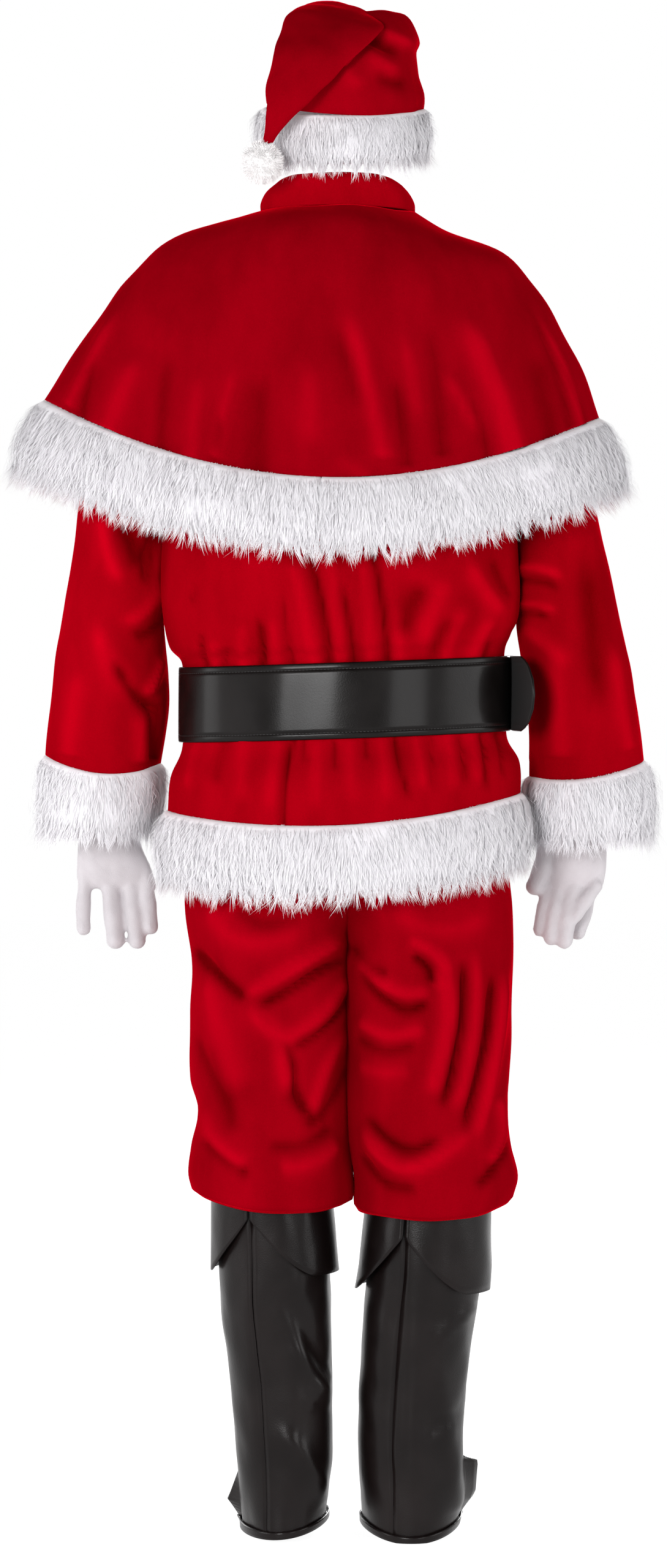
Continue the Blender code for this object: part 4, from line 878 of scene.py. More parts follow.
def shoulder_line(angle):
    """Where each line of the chest ends at the top: on a straight shoulder seam near the
    sides, on a round neckline in the middle."""
    side = np.mod(angle, 360.0)
    face = np.where(side <= 180.0, 1.0, -1.0)
    from_left = np.where(side <= 180.0, side, 360.0 - side)
    edge = np.minimum(from_left, 180.0 - from_left)
    hand = np.where(from_left < 90.0, 1.0, -1.0)
    seam = np.clip(edge / SHOULDER["share"], 0.0, 1.0)
    turn = np.clip((edge - SHOULDER["share"]) / (90.0 - SHOULDER["share"]), 0.0, 1.0) * np.pi / 2
    x = SHOULDER["tip_x"] + (SHOULDER["neck_x"] - SHOULDER["tip_x"]) * seam
    x = np.where(turn > 0, SHOULDER["neck_x"] * np.cos(turn), x)
    z = SHOULDER["tip_z"] + (SHOULDER["neck_z"] - SHOULDER["tip_z"]) * seam - SHOULDER["dip"] * np.sin(turn) ** 2
    return np.stack((hand * x, face * SHOULDER["neck_y"] * np.sin(turn), z), -1)


def yoke(angle, rise):
    """The jacket above the armpits: each line of the chest rises to the shoulder line on a
    quarter of an ellipse, rise 0 at the chest and 1 at the shoulder."""
    chest = ring(JACKET[0], angle)
    top = shoulder_line(angle)
    turn = rise * np.pi / 2
    share = np.stack((rise, 1.0 - np.cos(turn), np.sin(turn)), -1)
    return chest + (top - chest) * share


def armhole_cut(rise):
    return SHOULDER["armhole"] * np.sin(np.pi * rise) ** 0.8


def jacket_grid(start, end, columns):
    rise = spread(0.995, 0.0, 20)[:-1]
    cut = armhole_cut(rise)
    first = start + SEAM_DEGREES + (cut if start % 180.0 == 0.0 else 0.0)
    last = end - SEAM_DEGREES - (cut if end % 180.0 == 0.0 else 0.0)
    share = spread(0.0, 1.0, columns)
    angle = (first + np.zeros(len(rise)))[:, None] * (1 - share) + (last + np.zeros(len(rise)))[:, None] * share
    upper = yoke(angle, np.broadcast_to(rise[:, None], angle.shape))
    lower = stack_grid(JACKET, spread(start + SEAM_DEGREES, end - SEAM_DEGREES, columns), spread(0.0, len(JACKET) - 1.0, 84))
    return np.concatenate((upper, lower))


def sleeve_head(side, angle):
    """The ring where a sleeve meets its armhole: from the shoulder's tip (angle 0) down
    the back to the armpit (180) and up the front."""
    turn = np.mod(angle, 360.0)
    rise = np.where(turn <= 180.0, 1.0 - turn / 180.0, (turn - 180.0) / 180.0)
    face = np.where(turn <= 180.0, 1.0, -1.0)
    point = yoke(face * armhole_cut(rise), rise)
    clear = 0.0024 + 0.0070 * (1.0 - rise)
    return np.stack((side * (point[..., 0] + clear), point[..., 1], point[..., 2] - 0.004 * (1.0 - rise)), -1)


def sleeve_grid(side_name, columns, cap_rows, arm_rows):
    """A sleeve: each line leaves the armhole on a quadratic curve whose middle point pulls
    it outwards, then follows the sleeve's sections."""
    table = SLEEVES[side_name]
    side = 1.0 if side_name == "left" else -1.0
    angle = spread(0.0, 360.0, columns)[:-1]
    on_arm = angle if side > 0 else 180.0 - angle
    head = sleeve_head(side, angle)
    first = ring(table[0], on_arm)
    pull = np.stack((
        head[:, 0] + (first[:, 0] - head[:, 0]) * 0.75,
        (head[:, 1] + first[:, 1]) / 2,
        head[:, 2] * 0.8 + first[:, 2] * 0.2,
    ), -1)
    share = spread(0.0, 1.0, cap_rows)[:-1, None, None]
    cap = head * (1 - share) ** 2 + pull * 2 * share * (1 - share) + first * share**2
    arm = stack_grid(table, on_arm, spread(0.0, len(table) - 1.0, arm_rows))
    grid = np.concatenate((cap, arm))
    return grid if side > 0 else grid[:, ::-1]


def make_jacket():
    panels = {
        "jacket_back": (0.0, 180.0, 100, 0.54, 0.74),
        "jacket_front_right": (180.0, 270.0, 44, 0.27, 0.74),
        "jacket_front_left": (270.0, 360.0, 44, 0.27, 0.74),
    }
    for node, (start, end, columns, width, length) in panels.items():
        flat = jacket_grid(start, end, columns)
        grid = draped(flat, JACKET_FOLDS, height=0.0010, longest=0.12, seed=7, highest=belt_room(flat))
        piece = cloth_piece(node + "_velvet", grid, VELVET, RED, [node], table=JACKET_FOLDS)
    for side in ("left", "right"):
        grid = draped(sleeve_grid(side, 72, 14, 74), SLEEVE_FOLDS, wrap=True, height=0.0012, longest=0.10, seed=11)
        piece = cloth_piece("sleeve_" + side + "_velvet", grid, VELVET, RED, ["sleeve_" + side], wrap=True, table=SLEEVE_FOLDS)


# ------------------------------------------------------------------ trousers


def trouser_grid(side, start, columns, rows):
    """One quarter of the trousers: a quarter of the hips above, half of a leg below, and
    between hip and crotch the two blended, which draws the crotch seam."""
    first = -90.0 if side == "left" else 90.0
    z = np.concatenate((spread(PELVIS[0][0], LEGS[side][-2][0], rows), [LEGS[side][-1][0]]))
    angle = spread(start + SEAM_DEGREES, start + 90.0 - SEAM_DEGREES, columns)[None, :]
    leg_angle = (angle - first) * 2.0 + (180.0 if side == "left" else 0.0)
    hips = rows_at_height(PELVIS, np.maximum(z, PELVIS[-1][0]))
    hips[:, 0] = z
    legs = rows_at_height(LEGS[side], np.minimum(z, LEGS[side][0][0]))
    legs[:, 0] = z
    share = ease((HIP_LEVEL - z) / (HIP_LEVEL - CROTCH_LEVEL))[:, None, None]
    return ring(hips[:, None], angle) * (1 - share) + ring(legs[:, None], leg_angle) * share


def make_trousers():
    for side, quarters in (("left", (("back", 0.0), ("front", -90.0))), ("right", (("back", 90.0), ("front", 180.0)))):
        for face, start in quarters:
            node = "trousers_" + face + "_" + side
            grid = draped(trouser_grid(side, start, 66, 108), TROUSER_FOLDS, height=0.0014, longest=0.13, seed=13)
            piece = cloth_piece(node + "_velvet", grid, VELVET, TROUSER_RED, [node], table=TROUSER_FOLDS)
    band = stack_grid(sections((-0.566, 0.160, -0.168, 0.112, -0.106), (-0.604, 0.164, -0.172, 0.114, -0.108)),
                      spread(0.0, 360.0, 80)[:-1], spread(0.0, 1.0, 4))
    piece = cloth_piece("trousers_waistband_velvet", band, VELVET, RED, ["trousers_waistband"], wrap=True)


# ------------------------------------------------------------------ boot covers


def winged(grid, angle, side):
    """A boot with its instep standing out on the outer side: pushed sideways just in
    front of the shaft's edge and fading towards the toe."""
    outer = 0.0 if side == "left" else 180.0
    past = np.mod((outer - angle) * (1.0 if side == "left" else -1.0) + 180.0, 360.0) - 180.0
    share = ease((past - 2.0) / 10.0) * ease((95.0 - past) / 70.0)
    heights, reach = BOOT_WING[side]
    push = np.interp(grid[..., 2], heights, reach) * share[None, :]
    moved = grid.copy()
    moved[..., 0] += push * (1.0 if side == "left" else -1.0)
    return moved


def make_boots():
    for side in ("left", "right"):
        table = BOOTS[side]
        halves = ("inner", "outer") if side == "left" else ("outer", "inner")
        for half, start in zip(halves, (BOOT_SEAM, BOOT_SEAM + 180.0)):
            node = "boot_" + side + "_" + half
            angle = spread(start + 0.15, start + 179.85, 30)
            grid = winged(stack_grid(table, angle, spread(0.0, len(table) - 1.0, 60)), angle, side)
            grid = draped(grid, BOOT_FOLDS, height=0.0008, longest=0.08, seed=17)
            piece = cloth_piece(node + "_leather", grid, LEATHER, BROWN, [node])
        cuff = BOOT_CUFF[side]
        angle = spread(BOOT_SEAM + 1.0, BOOT_SEAM + 359.0, 90)[None, :]
        down = spread(0.0, 1.0, 14)[:, None]
        aside = np.abs(np.mod(angle - BOOT_SEAM + 180.0, 360.0) - 180.0)
        climb = BOOT_NOTCH * np.maximum(0.0, 1.0 - aside / BOOT_NOTCH_SPREAD) ** 1.5
        z = BOOT_CUFF_TOP + (cuff["low"] + climb - BOOT_CUFF_TOP) * down
        fall = (BOOT_CUFF_TOP - z) / (BOOT_CUFF_TOP - cuff["low"])
        stand = cuff["lift"] + (cuff["flare"] - cuff["lift"]) * fall
        grid = ring(swollen(rows_at_height(table, z), stand), np.broadcast_to(angle, z.shape))
        grid = draped(grid, NO_FOLDS, height=0.0008, longest=0.09, seed=19)
        piece = cloth_piece("boot_" + side + "_cuff_leather", grid, LEATHER, BROWN, ["boot_" + side + "_cuff"])
        low = table[-1]
        high = rows_at_height(table, low[0] + 0.009)
        high[6] = low[6]
        rows = swollen(np.stack((high, low)), LEATHER * 1.5 + 0.0006)
        angle = spread(BOOT_SEAM, BOOT_SEAM + 360.0, 80)[:-1]
        grid = winged(stack_grid(rows, angle, spread(0.0, 1.0, 3)), angle, side)
        piece = cloth_piece("boot_" + side + "_hem_leather", grid, LEATHER, BROWN, ["boot_" + side + "_hem"], wrap=True)


# ------------------------------------------------------------------ belt

# down the belt: place, and how far its face stands out: rolled edges and two stitched
# grooves near them
BELT_PROFILE = np.array([
    (0.000, -0.0006), (0.010, -0.0001), (0.045, 0.0), (0.064, 0.0), (0.072, -0.0003), (0.080, 0.0),
    (0.13, 0.0), (0.30, 0.0), (0.50, 0.0), (0.70, 0.0), (0.87, 0.0),
    (0.920, 0.0), (0.928, -0.0003), (0.936, 0.0), (0.955, 0.0), (0.990, -0.0001), (1.000, -0.0006),
])
STITCH_PLACES = (0.072, 0.928)


# X of the soft kinks across the back of the belt; between them it lies nearly flat
BELT_KINKS = (0.150, 0.072, -0.006, -0.058, -0.108, -0.165)


def kinked(line, share):
    """A level line drawn part of the way to the chords between the belt's kinks."""
    back = line[:, 1] > 0
    order = np.argsort(line[back, 0])
    x, y = line[back, 0][order], line[back, 1][order]
    knots = np.sort(BELT_KINKS)
    chord = np.interp(line[:, 0], knots, np.interp(knots, x, y))
    inside = back & (line[:, 0] > knots[0]) & (line[:, 0] < knots[-1])
    moved = line.copy()
    moved[inside, 1] += (chord[inside] - line[inside, 1]) * share + 0.0008
    soft = np.convolve(np.pad(moved[:, 1], 3, mode="edge"), np.array((1, 2, 3, 4, 3, 2, 1)) / 16, "valid")
    moved[back, 1] = soft[back]
    return moved


def belt_band(line, outward, height, seed):
    """A strap along a level line: the belt's profile down its height, with soft dents."""
    down = BELT_PROFILE[:, 0][:, None, None]
    grid = line[None] - np.array((0.0, 0.0, 1.0)) * down * height
    stand = BELT_PROFILE[:, 1][:, None] + unevenness(grid * (1, 1, 0.35), 0.0007, 0.16, seed)
    return grid + outward[None] * stand[..., None]


def stitches(name, grid, spacing=0.0042, long=0.0030):
    """Threads laid in a strap's two grooves: short six-sided lozenges, end to end."""
    bars = []
    for place in STITCH_PLACES:
        row = int(np.argmin(np.abs(BELT_PROFILE[:, 0] - place)))
        line = grid[row]
        step = np.linalg.norm(np.diff(line, axis=0), axis=1)
        run = np.concatenate(((0.0,), np.cumsum(step)))
        at = np.arange(0.004, run[-1] - 0.004, spacing)
        centre = np.stack([np.interp(at, run, line[:, k]) for k in range(3)], -1)
        ahead = np.stack([np.interp(at + 0.001, run, line[:, k]) for k in range(3)], -1) - centre
        bars.append((centre, unit(ahead)))
    centre = np.concatenate([bar[0] for bar in bars])
    along = np.concatenate([bar[1] for bar in bars])
    up = np.array((0.0, 0.0, 1.0)) + np.zeros_like(along)
    out = np.cross(up, along)
    out *= np.sign(np.sum(out * (centre - centre.mean(0)), 1, keepdims=True))
    centre = centre + out * (BELT_WALL + 0.0001)
    offsets = ((-0.5, 0, 0), (-0.3, 0.5, 0), (0.3, 0.5, 0), (0.5, 0, 0), (0.3, -0.5, 0), (-0.3, -0.5, 0), (0, 0, 1))
    corners = np.stack([
        centre + along * long * a + up * 0.0009 * b + out * 0.0004 * c for a, b, c in offsets
    ], 1)
    faces = []
    for index in range(len(centre)):
        first = index * 7
        faces += [(first + k, first + (k + 1) % 6, first + 6) for k in range(6)]
    piece = mesh_object(name, corners, faces, THREAD)
    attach(piece, "root")
    return piece


def tongue_line(share):
    """The belt's free end seen from above, share 0 at the buckle and 1 at the tip: along
    the strap to where it lets go, then straight back and curling outwards."""
    inner = swollen(BELT_TOP, TONGUE["layer"])
    share = np.asarray(share, float)
    held = TONGUE["held"]
    angle = TONGUE["start"] + (TONGUE["leaves"] - TONGUE["start"]) * np.minimum(share / held, 1.0)
    free = np.maximum(share - held, 0.0) / (1.0 - held)
    leave = ring(inner, TONGUE["leaves"])
    ahead = unit(leave - ring(inner, TONGUE["leaves"] + 1.0))
    outward = ring_outward(inner, TONGUE["leaves"])
    away = ahead * TONGUE["tip"] * free[..., None] + outward * (TONGUE["curl"] * free**1.6)[..., None]
    return ring(inner, angle) + away


def make_belt():
    turn = spread(-80.0, 261.0, 170)
    line = kinked(ring(BELT_TOP, turn), 0.75)
    grid = belt_band(line, ring_outward(BELT_TOP, turn), BELT_HEIGHT, 31)
    strap = cloth_piece("belt_strap_leather", grid, BELT_WALL, BLACK, ["belt_strap"])
    seams = stitches("belt_strap_thread", grid)

    share = np.concatenate((spread(0.0, 0.72, 56), spread(0.73, 1.0, 24)))
    down = BELT_PROFILE[:, 0]
    tuck = TONGUE_ROUND * (1.0 - np.sqrt(1.0 - 0.985 * (2 * down - 1.0) ** 2))
    shares = share[None] - tuck[:, None] * np.maximum(0.0, share - 0.72)[None] / 0.28
    points = tongue_line(shares)
    points[..., 2] -= (BELT_HEIGHT * down)[:, None]
    normals = grid_normals(points[:, ::-1], False)[:, ::-1]
    flat_out = unit(normals * (1, 1, 0))
    grid = points + flat_out * (BELT_PROFILE[:, 1][:, None] + unevenness(points, 0.0006, 0.14, 33))[..., None]
    grid = grid[:, ::-1]
    tongue = cloth_piece("belt_tongue_leather", grid, BELT_WALL, BLACK, ["belt_tongue"])
    tongue.data.materials.append(BACKING)
    tongue.modifiers["wall"].material_offset = 1
    seams = stitches("belt_tongue_thread", grid)
    for node in ("belt_buckle", "belt_prong"):
        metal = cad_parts[node].data.materials
        metal.clear()
        metal.append(GILT)


TONGUE_ROUND = 0.125

# ------------------------------------------------------------------ gloves

# palm: middle X, Y and Z, half width and half depth, from the wrist to the knuckles
PALMS = {
    "left": np.array([
        (0.2785, -0.074, -0.716, 0.0330, 0.0250),
        (0.2775, -0.075, -0.738, 0.0355, 0.0230),
        (0.2745, -0.076, -0.760, 0.0392, 0.0200),
        (0.2700, -0.077, -0.784, 0.0452, 0.0165),
        (0.2690, -0.077, -0.800, 0.0455, 0.0130),
        (0.2690, -0.077, -0.808, 0.0400, 0.0080),
    ]),
    "right": np.array([
        (-0.2890, -0.074, -0.722, 0.0320, 0.0250),
        (-0.2900, -0.075, -0.745, 0.0332, 0.0230),
        (-0.2895, -0.075, -0.768, 0.0340, 0.0215),
        (-0.2870, -0.074, -0.792, 0.0350, 0.0200),
        (-0.2830, -0.073, -0.810, 0.0335, 0.0175),
        (-0.2780, -0.071, -0.822, 0.0270, 0.0120),
    ]),
}
# fingers: root, bend and tip (X, Y, Z each), then radius
FINGERS = {
    "left": (
        ((0.3030, -0.077, -0.788), (0.3065, -0.071, -0.830), (0.3050, -0.064, -0.864), 0.0093),
        ((0.2760, -0.078, -0.790), (0.2705, -0.069, -0.840), (0.2665, -0.060, -0.880), 0.0118),
        ((0.2520, -0.078, -0.790), (0.2450, -0.068, -0.840), (0.2405, -0.060, -0.880), 0.0110),
        ((0.2330, -0.076, -0.788), (0.2280, -0.068, -0.826), (0.2240, -0.062, -0.863), 0.0096),
        ((0.2520, -0.088, -0.762), (0.2370, -0.100, -0.785), (0.2280, -0.106, -0.816), 0.0105),
    ),
    "right": (
        ((-0.2570, -0.072, -0.800), (-0.2470, -0.062, -0.830), (-0.2405, -0.054, -0.865), 0.0084),
        ((-0.2680, -0.068, -0.806), (-0.2600, -0.054, -0.838), (-0.2540, -0.046, -0.875), 0.0098),
        ((-0.2860, -0.064, -0.806), (-0.2760, -0.050, -0.840), (-0.2700, -0.044, -0.879), 0.0108),
        ((-0.3020, -0.080, -0.804), (-0.2950, -0.078, -0.838), (-0.2840, -0.074, -0.869), 0.0112),
        ((-0.3110, -0.062, -0.802), (-0.2980, -0.050, -0.820), (-0.2790, -0.046, -0.847), 0.0086),
        ((-0.2500, -0.074, -0.756), (-0.2440, -0.066, -0.785), (-0.2310, -0.060, -0.814), 0.0110),
    ),
}
GLOVE_MOUTH = -0.720


def tube(rings):
    """Points and faces of rings joined one to the next and closed at both ends."""
    count, sides = rings.shape[:2]
    faces = grid_faces(count, sides, True).tolist()
    faces += [list(range(sides)), list(range(count * sides - 1, (count - 1) * sides - 1, -1))]
    return rings.reshape(-1, 3), faces


def palm_rings(palm):
    """Flattened rings down the palm: cosine across and sine in depth, both filled out."""
    rows = rows_at(palm, spread(0.0, len(palm) - 1.0, 20))[:, None]
    turn = spread(0.0, TAU, 28)[None, :-1]
    across = np.sign(np.cos(turn)) * np.abs(np.cos(turn)) ** 0.85
    along = np.sign(np.sin(turn)) * np.abs(np.sin(turn)) ** 0.85
    rings = (rows[..., 0] + rows[..., 3] * across, rows[..., 1] + rows[..., 4] * along, rows[..., 2] + 0 * across)
    return np.stack(rings, -1)


def finger_rings(root, bend, tip, radius):
    """Round rings along a finger on a quadratic curve through its bend, a little fatter
    at the joints and closing at the tip like half a ball."""
    root, bend, tip = (np.array(point) for point in (root, bend, tip))
    share = np.concatenate((spread(0.0, 0.86, 12), 0.86 + 0.14 * np.sin(spread(0.0, np.pi / 2, 6)[1:])))
    pull = 2 * bend - (root + tip) / 2
    t = share[:, None]
    middle = root * (1 - t) ** 2 + pull * 2 * t * (1 - t) + tip * t**2
    ahead = unit(np.gradient(middle, axis=0))
    side = unit(np.cross(ahead, (0.0, 1.0, 0.0)))
    palmward = np.cross(side, ahead)
    close = np.sqrt(np.clip(1.0 - np.clip((share - 0.84) / 0.162, 0, 1) ** 2, 0.0, 1.0))
    fat = radius * close * (1.0 + 0.05 * np.cos(share * 2 * TAU))
    turn = spread(0.0, TAU, 16)[:-1]
    spokes = np.cos(turn)[None, :, None] * side[:, None] + np.sin(turn)[None, :, None] * palmward[:, None]
    return middle[:, None] + spokes * fat[:, None, None]


def welded(parts, voxel):
    """Points and quads of closed parts melted into one skin and softened."""
    points, faces = [], []
    for part_points, part_faces in parts:
        first = sum(len(block) for block in points)
        points.append(part_points)
        faces += [[first + corner for corner in face] for face in part_faces]
    lump = mesh_object("lump", np.concatenate(points), faces, WHITE)
    weld = lump.modifiers.new("weld", "REMESH")
    weld.mode = "VOXEL"
    weld.voxel_size = voxel
    soft = lump.modifiers.new("soften", "SMOOTH")
    soft.factor = 0.5
    soft.iterations = 6
    whole = lump.evaluated_get(bpy.context.evaluated_depsgraph_get()).to_mesh()
    skin = np.zeros(len(whole.vertices) * 3)
    whole.vertices.foreach_get("co", skin)
    corners = np.zeros(len(whole.loops), int)
    whole.loops.foreach_get("vertex_index", corners)
    bpy.data.objects.remove(lump)
    return skin.reshape(-1, 3), corners.reshape(-1, 4)


def make_gloves():
    for seed, side in enumerate(("left", "right"), 61):
        parts = [tube(palm_rings(PALMS[side]))]
        parts += [tube(finger_rings(*finger)) for finger in FINGERS[side]]
        points, quads = welded(parts, 0.0026)
        quads = quads[points[quads][..., 2].max(1) < GLOVE_MOUTH]
        used, quads = np.unique(quads, return_inverse=True)
        points = points[used]
        points += unevenness(points, 0.0003, 0.02, seed)[:, None] * np.array((0.3, 1.0, 0.0))
        piece = mesh_object("glove_" + side + "_knit", points, quads.reshape(-1, 4), WHITE)
        wall = piece.modifiers.new("wall", "SOLIDIFY")
        wall.thickness = KNIT
        wall.offset = -1.0
        finish_piece(piece, ["glove_" + side])


# ------------------------------------------------------------------ hat


def make_hat():
    grid = stack_grid(HAT_CROWN, spread(0.0, 360.0, 90)[:-1], spread(0.0, len(HAT_CROWN) - 1.0, 34))
    grid = draped(grid, HAT_FOLDS, wrap=True, height=0.0015, longest=0.07, seed=23)
    piece = cloth_piece("hat_crown_velvet", grid, VELVET, HAT_RED, ["hat_crown"], wrap=True, table=HAT_FOLDS)
    rows = rows_at(HAT_TAIL, spread(0.0, len(HAT_TAIL) - 1.0, 50))
    left = rows[:, (0, 4, 1)]
    right = rows[:, (2, 4, 3)]
    middle = (left + right) / 2
    half = (left - right) / 2
    thick = unit(np.cross(unit(np.gradient(middle, axis=0)), unit(half)))
    turn = spread(0.0, TAU, 44)[:-1]
    grid = (middle[:, None] + np.cos(turn)[None, :, None] * half[:, None]
            - np.sin(turn)[None, :, None] * rows[:, 5, None, None] * thick[:, None])
    grid = draped(grid[:, ::-1], NO_FOLDS, wrap=True, height=0.0020, longest=0.08, seed=29)
    piece = cloth_piece("hat_tail_velvet", grid, VELVET, HAT_RED, ["hat_tail"], wrap=True)


# ------------------------------------------------------------------ fur

# Each band: sections at its seam and lower edge, reach of the pile, angles, and how many
# hairs it gets. The skin ends short of the lower edge, and the hairs hang past it.
FUR_BANDS = {
    "cape_trim_left": (CAPE[-1], CAPE_TRIM_LOW, 0.018, -90.0, 90.0, 36500),
    "cape_trim_right": (CAPE[-1], CAPE_TRIM_LOW, 0.018, 90.0, 270.0, 36500),
    "hem_trim": (JACKET[-1], HEM_TRIM_LOW, 0.017, 0.0, 360.0, 40000),
    "cuff_left": (SLEEVES["left"][-1], CUFF_LOW["left"], 0.014, 0.0, 360.0, 14500),
    "cuff_right": (SLEEVES["right"][-1], CUFF_LOW["right"], 0.017, 0.0, 360.0, 15500),
    "hat_band": (HAT_BAND_TOP, HAT_BAND_LOW, 0.014, 0.0, 360.0, 22000),
}
FUR_FLAT = {
    "cape_trim_left": (0.90, 0.078),
    "cape_trim_right": (0.90, 0.078),
    "hem_trim": (1.16, 0.078),
    "cuff_left": (0.44, 0.082),
    "cuff_right": (0.45, 0.080),
    "hat_band": (0.61, 0.060),
}
# down the skin from seam to lower edge, and how far out it stands as a share of the reach
SKIN_SHAPE = np.array([
    (0.000, 0.08), (0.018, 0.34), (0.055, 0.52), (0.12, 0.66), (0.22, 0.76), (0.36, 0.82),
    (0.52, 0.82), (0.66, 0.76), (0.77, 0.64), (0.84, 0.44), (0.87, 0.14),
])
SKIN_BACK = np.array([(0.85, -0.10), (0.50, -0.12), (0.10, -0.12), (0.01, -0.06)])


def band_frame(upper, lower, angle):
    """Top point, low point and outward direction of a fur band at angles."""
    return ring(upper, angle), ring(lower, angle), ring_outward(upper, angle)


def band_lumps(points, seed):
    """Soft lumps of a fur band, a little stretched up and down."""
    return unevenness(points * (1.0, 1.0, 0.55), 1.0, 0.085, seed)


def skin_reach(down):
    return np.interp(down, SKIN_SHAPE[:, 0], SKIN_SHAPE[:, 1])


def fur_skin(name, seed):
    """The backing of a fur band as one closed strip: a plump outer face and a flat back."""
    upper, lower, reach, start, end, _ = FUR_BANDS[name]
    whole = end - start == 360.0
    steps = 160 if end - start == 180.0 or name == "hem_trim" else 96
    angle = spread(start, end, steps) if not whole else spread(start, end, steps)[:-1]
    if not whole:
        angle[0] += 0.10
        angle[-1] -= 0.10
    top, low, out = band_frame(upper, lower, angle)
    profile = np.concatenate((SKIN_SHAPE, SKIN_BACK))
    down = profile[:, 0][:, None, None]
    stand = profile[:, 1][:, None]
    base = top[None] + (low - top)[None] * down
    lumps = 1.0 + 0.20 * band_lumps(base, seed) * (stand > 0.3)
    grid = base + out[None] * (reach * stand * lumps)[..., None]
    rows, columns = grid.shape[:2]
    r, c = np.meshgrid(np.arange(rows), np.arange(columns if whole else columns - 1), indexing="ij")
    down_one, next_one = (r + 1) % rows, (c + 1) % columns
    quads = np.stack((r * columns + c, down_one * columns + c, down_one * columns + next_one, r * columns + next_one), -1)
    faces = quads.reshape(-1, 4).tolist()
    if not whole:
        ring_start = [row * columns for row in range(rows)]
        ring_end = [row * columns + columns - 1 for row in range(rows)]
        faces += [ring_start[::-1], ring_end]
    # the skin has no tip attribute, so it takes the grey root colour: painted shade under the hairs
    piece = mesh_object(name + "_skin", grid, faces, FUR)
    return finish_piece(piece, [name])


def blades(name, root, middle, tip, side, width, material):
    """Hairs as flat tapered blades of five corners: two at the root, two at the middle
    and one at the tip. width is half the width at the root for each hair."""
    count = len(root)
    across = side * width[:, None]
    corners = np.stack((root - across, root + across, middle + across * 0.8, middle - across * 0.8, tip), 1)
    first = np.arange(count)[:, None] * 5
    corner_order = np.concatenate((first + (0, 1, 2, 3), first + (3, 2, 4)), 1).ravel()
    mesh = bpy.data.meshes.new(name)
    mesh.vertices.add(count * 5)
    mesh.vertices.foreach_set("co", corners.astype(np.float32).ravel())
    mesh.loops.add(count * 7)
    mesh.loops.foreach_set("vertex_index", corner_order.astype(np.int32))
    mesh.polygons.add(count * 2)
    starts = (np.arange(count)[:, None] * 7 + (0, 4)).ravel()
    mesh.polygons.foreach_set("loop_start", starts.astype(np.int32))
    mesh.polygons.foreach_set("loop_total", np.tile((4, 3), count).astype(np.int32))
    mesh.update(calc_edges=True)
    tipness = mesh.attributes.new("tip", "FLOAT", "POINT")
    # painted shade along each hair: grey at the root, pale at the tip
    tipness.data.foreach_set("value", np.tile((0.0, 0.0, 0.55, 0.55, 1.0), count).astype(np.float32))
    mesh.materials.append(material)
    mesh.shade_smooth()
    piece = bpy.data.objects.new(name, mesh)
    bpy.context.scene.collection.objects.link(piece)
    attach(piece, "root")
    return piece


